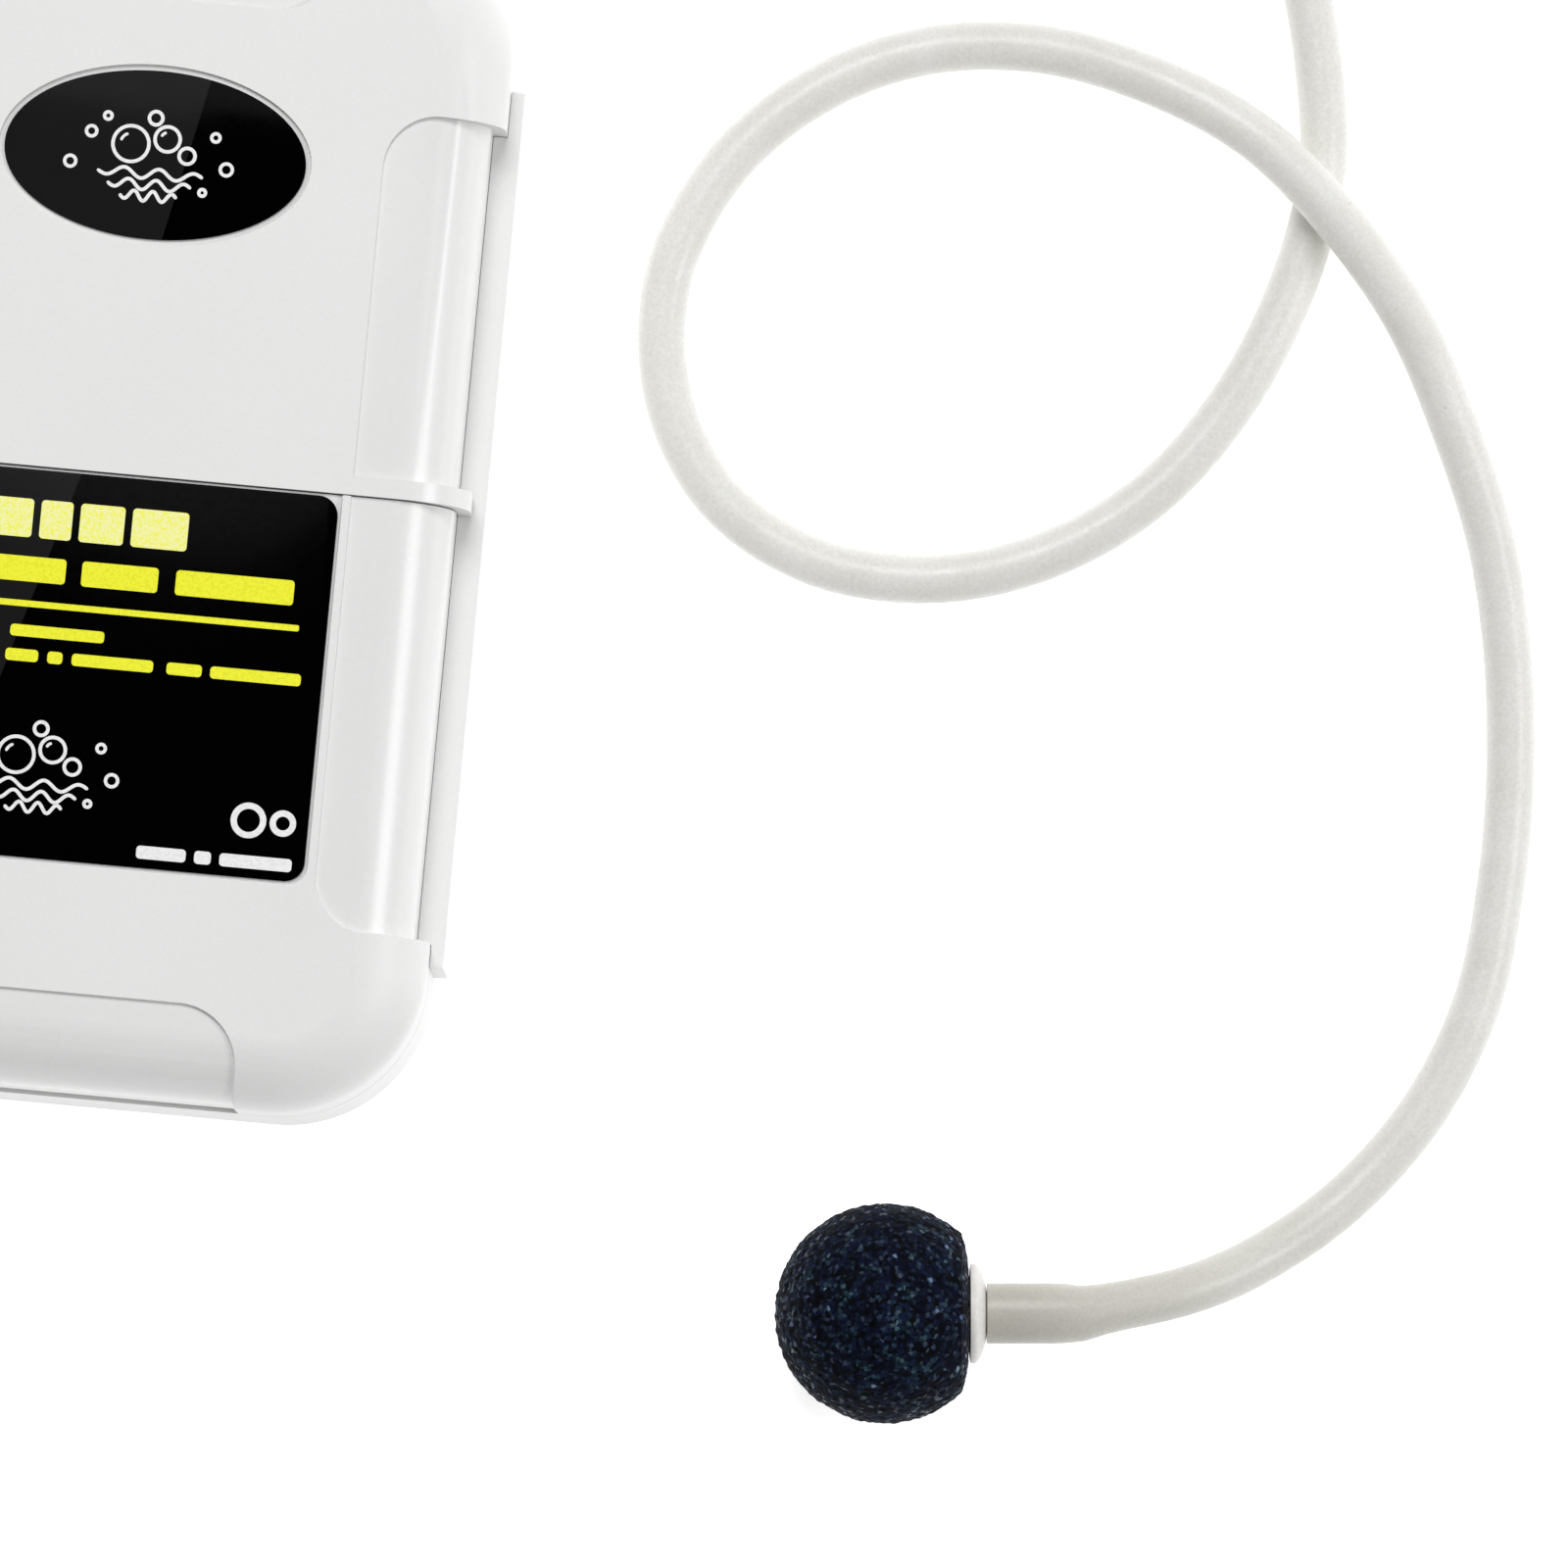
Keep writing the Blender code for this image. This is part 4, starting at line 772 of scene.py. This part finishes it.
def make_stem():
    """The white collar against the stone, with a moulded rim, and the barbed stem under the hose."""
    tip, rim = STEM_TIP, STEM_COLLAR_RADIUS
    profile = [(1.0, tip), (1.9, tip), (2.05, tip - 0.2), (2.6, tip - 2.4), (2.1, tip - 2.6)]
    profile += [(2.6, tip - 5.0), (2.1, tip - 5.2), (2.2, STEM_SHOULDER), (3.2, 12.2), (4.2, 11.95)]
    profile += [(5.2, 11.6), (5.8, 11.2), (rim, 10.8), (rim - 0.1, 10.3), (5.2, STONE_FLAT)]
    profile += [(2.3, STONE_FLAT), (2.3, 3.6), (1.0, 3.6)]
    stem = turned("stone_collar", profile, STONE_CENTRE, STONE_AXIS, 72)
    wobble, barb_reach = 0.12, 3.0
    for vertex in stem.data.vertices:
        offset = vertex.co / MM - STONE_CENTRE
        out = offset - STONE_AXIS * offset.dot(STONE_AXIS)
        if out.length > barb_reach:
            shrink = wobble * (0.5 + 0.5 * noise.noise(out / 2.1))
            vertex.co -= out.normalized() * shrink * MM
    return place_piece(shade(stem, 50.0), "stem", "pump", "stem_plastic", "stone_stem")


stone_ball = make_stone()
stone_collar = make_stem()


# -------- housing


def housing_block(name):
    low, high = (-HALF_WIDTH, -HALF_LENGTH, 0.0), (HALF_WIDTH, HALF_LENGTH, DEPTH)
    return rounded_block(name, low, high, CORNER_RADIUS, FRONT_RADIUS, BACK_RADIUS)


def make_bay_cutter():
    low, high = (-BAY_HALF_WIDTH, -BAY_HALF_LENGTH, WALL), (BAY_HALF_WIDTH, BAY_HALF_LENGTH, DEPTH - WALL)
    corner = CORNER_RADIUS - (HALF_WIDTH - BAY_HALF_WIDTH)
    return rounded_block("bay_cutter", low, high, corner, FRONT_RADIUS - WALL, BACK_RADIUS - WALL)


def make_panel_cutters():
    """Cutters for the sunken panels: what lies outside a slightly smaller housing, within each panel."""
    floor = rounded_block(
        "panel_floor",
        (PANEL_SIDE_DEPTH - HALF_WIDTH, PANEL_END_DEPTH - HALF_LENGTH, 0.0),
        (HALF_WIDTH - PANEL_SIDE_DEPTH, HALF_LENGTH - PANEL_END_DEPTH, DEPTH - PANEL_FRONT_DEPTH),
        CORNER_RADIUS - PANEL_SIDE_DEPTH,
        FRONT_RADIUS - PANEL_FRONT_DEPTH,
    )
    low_z, high_z = PARTING_Z - 1.0, DEPTH + 5.0
    outside = HALF_WIDTH + 2 * SIDE_PANEL_RADIUS
    side_low = (SIDE_PANEL_INNER_X, SIDE_PANEL_LOW_Y, low_z)
    side_high = (outside, SIDE_PANEL_HIGH_Y, high_z)
    door_side, cover_side = (
        mirrored(rounded_block("side_panel", side_low, side_high, SIDE_PANEL_RADIUS)) for _ in range(2)
    )
    lip = box("lip_keeper", (-FAR, -FAR, 0.0), (FAR, LIP_TOP_Y, FAR))
    outer_y = HALF_LENGTH + 2 * END_PANEL_RADIUS
    ends = []
    for low_y, high_y in ((-outer_y, END_PANEL_INNER_Y[0]), (END_PANEL_INNER_Y[1], outer_y)):
        low, high = (-END_PANEL_HALF_WIDTH, low_y, low_z), (END_PANEL_HALF_WIDTH, high_y, high_z)
        ends.append(rounded_block("end_panel", low, high, END_PANEL_RADIUS))
    for cutter in (door_side, cover_side, *ends):
        cut(cutter, floor)
    cut(cover_side, lip)
    for cutter in (door_side, cover_side, *ends):
        settle(cutter)
    drop(floor, lip)
    return (door_side, ends[0]), (cover_side, ends[1])


def on_panel(centre, normal):
    """Whether a face, its centre in millimetres, is part of a sunken panel's floor."""
    margin = 0.3
    x, y, z = abs(centre.x), centre.y, centre.z
    outward = max(normal.z, normal.x * math.copysign(1.0, centre.x))
    if outward < 0.05 or not PARTING_Z <= z <= DEPTH - PANEL_FRONT_DEPTH + 0.1:
        return False
    if y < END_PANEL_INNER_Y[0] - margin or y > END_PANEL_INNER_Y[1] + margin:
        return x < END_PANEL_HALF_WIDTH - margin
    beside = SIDE_PANEL_LOW_Y + margin < y < SIDE_PANEL_HIGH_Y - margin
    return beside and SIDE_PANEL_INNER_X + margin < x < HALF_WIDTH - PANEL_SIDE_DEPTH + 0.05


def polish_panels(shell):
    """Gives the floors of the sunken panels their polished finish; the rest keeps its fine texture."""
    shell.data.materials.append(PAINTS["gloss_housing"])
    for polygon in shell.data.polygons:
        if on_panel(polygon.center / MM, polygon.normal):
            polygon.material_index = 1
    return shell


def screw_places():
    """Each case screw's place, and where the cover's boss for it ends."""
    return [(side * x, y, top) for x, y, top in CASE_SCREWS for side in (-1, 1)]


def make_rear_shell(bay):
    shell = housing_block("rear_shell")
    above = box("above_parting", (-FAR, -FAR, PARTING_Z), (FAR, FAR, FAR))
    cut(shell, bay, above)
    cutters = [above]
    rail_inner = HALF_WIDTH - PANEL_SIDE_DEPTH + SHOWN_GAP
    root_z = PARTING_Z - 1.0
    wall_low_y, wall_high_y = SIDE_PANEL_LOW_Y + SHOWN_GAP, SIDE_PANEL_HIGH_Y - SHOWN_GAP
    bead_low_y = SIDE_PANEL_LOW_Y + 1.0 + GAP
    bead_low_z, bead_high_z = BEAD_Z - BEAD_HEIGHT / 2, BEAD_Z + BEAD_HEIGHT / 2
    outer, end_y = RAIL_HALF_WIDTH, RAIL_HALF_LENGTH
    rail_boxes = (
        ((BAY_HALF_WIDTH + 1.4, -end_y, RAIL_LOW_Z), (outer, end_y, PARTING_Z)),
        ((rail_inner, wall_low_y, root_z), (outer, wall_high_y, RAIL_TOP_Z)),
        ((HALF_WIDTH + SHOWN_GAP, -end_y, root_z), (outer, end_y, RAIL_TOP_Z)),
        ((rail_inner - BEAD_PROUD, bead_low_y, bead_low_z), (rail_inner + 1.0, BEAD_HIGH_Y, bead_high_z)),
    )
    for low, high in rail_boxes:
        rail = mirrored(box("rail", low, high))
        join(shell, rail)
        cutters.append(rail)
    bosses = [round_bar("rear_boss", (x, y, 1.0), (x, y, PARTING_Z - GAP), 4.2) for x, y, _ in screw_places()]
    join(shell, *bosses)
    for x, y, _ in screw_places():
        well = round_bar("screw_well", (x, y, -1.0), (x, y, 4.0), 3.2)
        bore = round_bar("screw_bore", (x, y, 3.0), (x, y, PARTING_Z + 1.0), 1.5, 24)
        cut(shell, well, bore)
        cutters += [well, bore]
    bridge_y = cad_box("bridge_contact")[0].y
    extras = [
        box("cell_rib", (-0.7, -64.0, WALL - 1.0), (0.7, -3.0, 12.0)),
        box("contact_rest", (-26.0, -BAY_HALF_LENGTH - 1.0, WALL - 1.0), (26.0, bridge_y - GAP, 24.0)),
    ]
    join(shell, *extras)
    nipple_x, _, nipple_z = HOSE_ROUTE_MM[0]
    knob = sum(cad_box("switch_body"), Vector()) / 2
    holes = [
        round_bar("nipple_hole", (nipple_x, 60.0, nipple_z), (nipple_x, 80.0, nipple_z), 4.2),
        box("switch_window", (knob.x - 4.4, 66.0, knob.z - 2.0), (knob.x + 4.4, 80.0, knob.z + 2.0)),
    ]
    cut(shell, *holes)
    settle(shell)
    drop(*cutters, *bosses, *extras, *holes)
    return place_piece(soften(shell), "housing", "pump", "housing", "rear_case")


def make_cover_shell(bay, panels):
    shell = housing_block("cover_shell")
    below = box("cover_below", (-FAR, -FAR, -FAR), (FAR, FAR, PARTING_Z + GAP))
    beyond = box("cover_beyond", (-FAR, -FAR, -FAR), (FAR, SEAM_Y + 2 * SHOWN_GAP, FAR))
    relief_low = (HALF_WIDTH - PANEL_SIDE_DEPTH, 0.0, PARTING_Z - 1.0)
    relief_high = (HALF_WIDTH + 5.0, LIP_TOP_Y + 2.0, RAIL_TOP_Z + GAP)
    relief = mirrored(box("lip_relief", relief_low, relief_high))
    cut(shell, bay, below, beyond, *panels, relief)
    used = [below, beyond, relief]
    for x, y, top in screw_places():
        boss = round_bar("cover_boss", (x, y, PARTING_Z + GAP), (x, y, top), 3.4)
        pilot = round_bar("cover_pilot", (x, y, 20.0), (x, y, 38.0), 1.5, 24)
        join(shell, boss)
        cut(shell, pilot)
        used += [boss, pilot]
    half_x, half_y = OVAL_HIGH.x + OVAL_RIM, OVAL_HALF_Y + OVAL_RIM
    low, high = (0.0, OVAL_MIDDLE_Y, DEPTH - LABEL_RECESS), (0.0, OVAL_MIDDLE_Y, DEPTH + 2.0)
    recess = round_bar("oval_recess", low, high, half_x, 96, half_y / half_x)
    cut(shell, recess)
    settle(shell)
    drop(*used, recess)
    return polish_panels(place_piece(soften(shell), "housing", "pump", "housing", "front_cover"))


def make_door_shell(bay, panels):
    shell = housing_block("door_shell")
    below = box("door_below", (-FAR, -FAR, -FAR), (FAR, FAR, PARTING_Z + GAP))
    beyond = box("door_beyond", (-FAR, SEAM_Y, -FAR), (FAR, FAR, FAR))
    cut(shell, bay, below, beyond, *panels)
    low = (LABEL_LOW.x - LABEL_BORDER, LABEL_LOW.y - LABEL_BORDER, DEPTH - LABEL_RECESS)
    high = (LABEL_HIGH.x + LABEL_BORDER, SEAM_Y + 6.0, DEPTH + 2.0)
    recess = rounded_block("label_recess", low, high, LABEL_RADIUS)
    groove_x, half_groove = HALF_WIDTH - PANEL_SIDE_DEPTH - BEAD_PROUD, BEAD_HEIGHT / 2 + GAP
    low = (groove_x, SIDE_PANEL_LOW_Y + 0.9, BEAD_Z - half_groove)
    groove = box("door_groove", low, (FAR, SEAM_Y + 2.0, BEAD_Z + half_groove))
    cut(shell, recess, mirrored(groove))
    under = DEPTH - WALL
    root = box("tongue_root", (-30.0, SEAM_Y - 5.0, under - 1.6), (30.0, SEAM_Y - GAP, under + 0.5))
    tongue = box("tongue", (-30.0, SEAM_Y - 4.0, under - 1.6), (30.0, LIP_TOP_Y + 0.4, under - GAP))
    join(shell, root, tongue)
    settle(shell)
    drop(below, beyond, recess, groove, root, tongue)
    return polish_panels(place_piece(soften(shell), "housing", "battery_door", "housing", "battery_door"))


bay_cutter = make_bay_cutter()
door_panels, cover_panels = make_panel_cutters()
make_rear_shell(bay_cutter)
make_cover_shell(bay_cutter, cover_panels)
make_door_shell(bay_cutter, door_panels)
drop(bay_cutter, *door_panels, *cover_panels)


# -------- labels and their print


def foil(name, outline, low_z):
    """A label's foil from an outline of (x, y) points, with its upper rim slightly round."""
    bm = bmesh.new()
    face = bm.faces.new([bm.verts.new((x, y, low_z)) for x, y in outline])
    grown = bmesh.ops.extrude_face_region(bm, geom=[face])
    top = [v for v in grown["geom"] if isinstance(v, bmesh.types.BMVert)]
    bmesh.ops.translate(bm, vec=(0.0, 0.0, FOIL_TOP_Z - low_z), verts=top)
    bm.normal_update()
    round_edges(bm, rim_edges(bm, FOIL_TOP_Z), LABEL_EDGE, 3)
    return shade(mesh_object(name, bm))


def rounded_outline(low, high, radius, facets):
    """Points round a rectangle with round corners."""
    left, right = low[0] + radius, high[0] - radius
    below, above = low[1] + radius, high[1] - radius
    quarter = 0.5 * math.pi
    points = []
    for i, (x, y) in enumerate(((right, above), (left, above), (left, below), (right, below))):
        points += arc(x, y, radius, radius, i * quarter, (i + 1) * quarter, facets)
    return points


def ribbon(bm, points, width, closed=False):
    """Adds a flat printed line along (x, y) points."""
    count = len(points)
    rows = []
    for i, (x, y) in enumerate(points):
        before = points[(i - 1) % count] if closed else points[max(i - 1, 0)]
        after = points[(i + 1) % count] if closed else points[min(i + 1, count - 1)]
        along = Vector((after[0] - before[0], after[1] - before[1])).normalized()
        reach = width / 2
        if not closed and i in (0, count - 1):
            reach *= 0.55
        side = Vector((-along.y, along.x)) * reach
        corners = ((x + side.x, y + side.y), (x - side.x, y - side.y))
        rows.append([bm.verts.new((*c, z)) for z in (PRINT_LOW_Z, PRINT_HIGH_Z) for c in corners])
    pairs = list(zip(rows, rows[1:]))
    if closed:
        pairs.append((rows[-1], rows[0]))
    for a, b in pairs:
        for i, j in ((0, 1), (1, 3), (3, 2), (2, 0)):
            bm.faces.new((a[i], a[j], b[j], b[i]))
    if not closed:
        for row in (rows[0], rows[-1]):
            bm.faces.new((row[0], row[1], row[3], row[2]))


def ring(bm, x, y, radius, width):
    ribbon(bm, circle(x, y, radius, radius, 32), width, closed=True)


def wave(bm, x, y, half_length):
    """Three crests of water, tapering at both ends."""
    points = []
    for i in range(61):
        t = i / 60 * 2.0 - 1.0
        rise = 0.62 * math.sin(t * 3.0 * math.pi) * (1.0 - 0.35 * t * t)
        points.append((x + t * half_length, y + rise))
    ribbon(bm, points, PRINT_LINE)


def bars(bm, y, height, spans):
    """A printed line broken into word-like bars: spans are (left, right)."""
    for left, right in spans:
        outline = rounded_outline((left, y), (right, y + height), min(0.45, height * 0.3), 4)
        low, high = ([bm.verts.new((*p, z)) for p in outline] for z in (PRINT_LOW_Z, PRINT_HIGH_Z))
        bm.faces.new(low)
        bm.faces.new(high)
        for i in range(len(outline)):
            j = (i + 1) % len(outline)
            bm.faces.new((low[i], low[j], high[j], high[i]))


def motif(bm, x, y):
    """Air rising through water: a cluster of bubbles over three waves."""
    large = ((-2.6, 1.5, 2.15), (1.7, 2.4, 1.5), (4.2, 0.6, 0.95), (0.1, 4.8, 0.8))
    small = ((-7.4, 2.6, 0.62), (-5.6, 4.6, 0.45), (7.4, 3.1, 0.5))
    small += ((9.0, -0.6, 0.72), (-9.6, -1.2, 0.66), (6.4, -3.6, 0.4))
    for bubble_x, bubble_y, radius in large:
        ring(bm, x + bubble_x, y + bubble_y, radius, PRINT_LINE)
    glints = ((-2.6, 1.5, 1.25, 1.9, 2.9), (1.7, 2.4, 0.8, 1.8, 2.8))
    for glint_x, glint_y, radius, start, end in glints:
        ribbon(bm, arc(x + glint_x, y + glint_y, radius, radius, start, end, 8), 0.34)
    for row, half_length in enumerate((6.3, 5.0, 3.4)):
        wave(bm, x, y - 1.9 - 1.35 * row, half_length)
    for bubble_x, bubble_y, radius in small:
        ring(bm, x + bubble_x, y + bubble_y, radius, 0.40)


def make_labels():
    """Two gloss labels. What is printed on them is plain bars, waves and bubbles, and no words."""
    ellipse = circle(0.0, OVAL_MIDDLE_Y, OVAL_HIGH.x, OVAL_HALF_Y, 128)
    oval = foil("oval_foil", ellipse, OVAL_LOW.z)
    place_piece(oval, "oval_foil", "pump", "label", "oval_label")
    oblong = foil("door_foil", rounded_outline(LABEL_LOW, LABEL_HIGH, LABEL_RADIUS, 10), LABEL_LOW.z)
    place_piece(oblong, "door_foil", "battery_door", "label", "door_label")

    bm = bmesh.new()
    motif(bm, -0.4, OVAL_MIDDLE_Y - 0.4)
    place_piece(mesh_object("oval_print", bm), "white_ink", "pump", "label")

    bm = bmesh.new()
    motif(bm, -7.0, -34.55)
    bars(bm, -44.05, 1.55, ((5.7, 11.6), (12.6, 14.6), (15.6, 24.2)))
    ring(bm, 18.6, -38.35, 1.75, 0.75)
    ring(bm, 22.7, -38.35, 1.2, 0.75)
    place_piece(mesh_object("door_print_white", bm), "white_ink", "battery_door", "label")

    bm = bmesh.new()
    words = ((-22.4, -16.9), (-16.0, -10.3), (-9.4, -5.6), (-4.7, 0.6), (1.5, 8.2))
    bars(bm, -7.2, 4.6, words)
    place_piece(mesh_object("door_print_headline", bm), "headline_ink", "battery_door", "label")

    bm = bmesh.new()
    bars(bm, -12.45, 3.0, ((-22.4, -5.8), (-3.9, 5.2), (7.3, 21.4)))
    bars(bm, -15.45, 0.75, ((-22.4, 22.4),))
    bars(bm, -19.0, 1.4, ((-22.4, -13.9), (-11.7, -0.5)))
    words = ((-22.4, -14.6), (-12.0, -8.1), (-7.0, -5.2), (-4.1, 5.6), (7.2, 11.4), (12.4, 23.2))
    bars(bm, -21.95, 1.45, words)
    place_piece(mesh_object("door_print_yellow", bm), "yellow_ink", "battery_door", "label")


make_labels()


# -------- cells, case screws and outlet


def make_cells():
    """Two D cells: a sleeve crimped over its shoulders, the nub's cap at one end and a plate at the other."""
    radius, length = CELL_RADIUS, CELL_LENGTH
    crimp = (0.0, 0.4, 0.8, 1.2, math.pi / 2)
    sleeve = [(14.2, -1.9), (14.2, -1.55), (14.7, -1.5)]
    sleeve += [(radius - 1.2 + 1.2 * math.sin(a), -2.7 + 1.2 * math.cos(a)) for a in crimp]
    sleeve += [(radius, -4.6), (radius - 0.18, -4.9), (radius - 0.18, -5.5), (radius, -5.8)]
    sleeve += [(radius - 1.0 + math.cos(a), 1.0 - length - math.sin(a)) for a in crimp]
    sleeve += [(14.0, -length), (14.0, 0.4 - length)]
    cap = [(0.0, -2.4), (14.1, -2.4), (14.1, -1.9), (6.4, -1.75), (5.3, -1.65), (4.75, -1.3)]
    cap += [(4.7, -0.45), (4.55, -0.14), (4.1, 0.0), (1.0, -0.04), (0.0, -0.04)]
    plate_end = [(0.0, 1.0 - length), (13.9, 1.0 - length), (13.9, 0.35 - length), (11.0, 0.3 - length)]
    plate_end += [(10.4, 0.05 - length), (9.0, -length), (0.0, -length)]
    for i, (node, place, way) in enumerate(CELLS, 1):
        axis = (0, way, 0)
        body = turned(f"cell_sleeve_{i}", sleeve, place, axis, 96)
        place_piece(shade(body, 50.0), f"cell_sleeve_{i}", "pump", "battery_jacket", node)
        for part, profile in (("cell_cap", cap), ("cell_plate", plate_end)):
            end = turned(f"{part}_{i}", profile, place, axis, 72)
            place_piece(shade(end, 35.0), "steel", "pump", "steel")


def make_case_screws():
    """Pan-head screws with a cross recess, and the ridges of a coarse thread."""
    for i, (x, y, _) in enumerate(screw_places(), 1):
        node = f"case_screw_{i}"
        head, tip = (level.z for level in cad_box(node))
        seat = head + 2.2
        profile = [(0.0, head), (1.0, head + 0.02), (1.7, head + 0.16), (2.3, head + 0.5), (2.6, head + 0.95)]
        profile += [(2.7, head + 1.4), (2.7, seat - 0.15), (2.55, seat), (1.1, seat)]
        level = seat + 4.0
        while level < tip - 3.0:
            profile += [(1.0, level), (1.2, level + 0.3), (1.2, level + 0.4), (1.0, level + 0.7)]
            level += 1.0
        profile += [(1.0, tip - 2.0), (0.0, tip)]
        screw = turned(node + "_shown", profile, (x, y, 0.0), (0, 0, 1), 32)
        slots = [
            box("slot", (x - a, y - b, head - 1.0), (x + a, y + b, head + depth))
            for a, b, depth in ((1.75, 0.3, 0.9), (0.3, 1.75, 1.0))
        ]
        cut(screw, *slots)
        settle(screw)
        drop(*slots)
        place_piece(shade(screw, 30.0), "steel", "pump", "steel", node)


def make_outlet():
    """The barbed spigot in the end wall, with its flange outside and its collar inside."""
    low, tip = cad_box("outlet_nipple")
    wall_out = HALF_LENGTH + GAP - tip.y
    wall_in = BAY_HALF_LENGTH - GAP - tip.y
    inner_end = low.y - tip.y
    profile = [(1.0, 0.0), (1.7, 0.0), (1.9, -0.15), (2.58, -2.5), (2.58, -2.62), (2.0, -2.8)]
    profile += [(2.58, -5.3), (2.58, -5.42), (2.0, -5.6), (2.1, wall_out + 2.0), (2.3, wall_out + 1.75)]
    profile += [(5.0, wall_out + 1.5), (5.4, wall_out + 1.3), (5.58, wall_out + 0.9), (5.6, wall_out)]
    profile += [(3.9, wall_out), (3.9, wall_in), (5.0, wall_in), (5.0, wall_in - 1.2)]
    profile += [(2.0, wall_in - 1.3), (2.0, inner_end), (1.0, inner_end)]
    place = ((low.x + tip.x) / 2, tip.y, (low.z + tip.z) / 2)
    outlet = turned("outlet_spigot", profile, place, (0, 1, 0), 64)
    place_piece(shade(outlet, 40.0), "housing", "pump", "housing", "outlet_nipple")


make_cells()
make_case_screws()
make_outlet()


# -------- carried-over CAD pieces


NODE_PAINTS = {
    "housing": ("bulkhead",),
    "steel": (
        *("battery_spring_1", "battery_spring_2", "bridge_contact", "contact_positive", "contact_negative"),
        *("motor_shaft", "crank_clip", "motor_clamp", "clamp_screw_1", "clamp_screw_2"),
        *(f"head_screw_{number}" for number in range(1, 5)),
    ),
    "drawn_steel": ("motor_can", "armature"),
    "dark_plastic": (
        *("motor_end_bell", "pump_chassis", "pump_chamber", "head_cover"),
        *("switch_body", "switch_knob"),
    ),
    "brass": ("motor_terminal_1", "motor_terminal_2", "motor_bushing"),
    "ferrite": ("motor_magnet_1", "motor_magnet_2"),
    "copper": ("commutator",),
    "nylon": ("crank_disc", "connecting_rod", "diaphragm_clevis"),
    "rubber": ("diaphragm", "inlet_flap", "outlet_flap"),
    "foam": ("foam_pad",),
    "silicone": ("inner_tube",),
    "red_wire": ("wire_positive", "wire_switch"),
    "black_wire": ("wire_negative",),
}
for paint_name, node_names in NODE_PAINTS.items():
    for node_name in node_names:
        dress(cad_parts[node_name], paint_name)


# -------- floor, light and view


def make_stage():
    """A plain pale floor, an even studio sky, and two soft lamps: (name, place, size, power)."""
    bm = bmesh.new()
    bmesh.ops.create_grid(bm, x_segments=1, y_segments=1, size=3000.0)
    floor = mesh_object("floor", bm)
    floor.location.z = -0.0002
    paint = Paint("floor", grey(0.92), 0.9, specular=0.0)
    paint.set("Emission Color", (1.0, 1.0, 1.0, 1.0))
    paint.set("Emission Strength", 0.65)
    floor.data.materials.append(paint.material)

    world = bpy.data.worlds.new("studio")
    world.use_nodes = True
    background = world.node_tree.nodes["Background"]
    background.inputs["Color"].default_value = (1.0, 1.0, 1.0, 1.0)
    background.inputs["Strength"].default_value = 0.36
    bpy.context.scene.world = world
    lights = (
        ("key", (-0.12, 1.05, 1.95), 1.0, 25.0),
        ("side", (1.5, 0.0, 1.25), 0.8, 10.5),
    )
    for name, where, size, power in lights:
        data = bpy.data.lights.new(name, "AREA")
        data.shape = "DISK"
        data.size = size
        data.energy = power
        lamp = bpy.data.objects.new(name, data)
        bpy.context.scene.collection.objects.link(lamp)
        lamp.location = where
        aim = Vector((0.03, 0.0, 0.0)) - Vector(where)
        lamp.rotation_euler = aim.to_track_quat("-Z", "Y").to_euler()
    bpy.context.scene.view_settings.view_transform = "Standard"


make_stage()
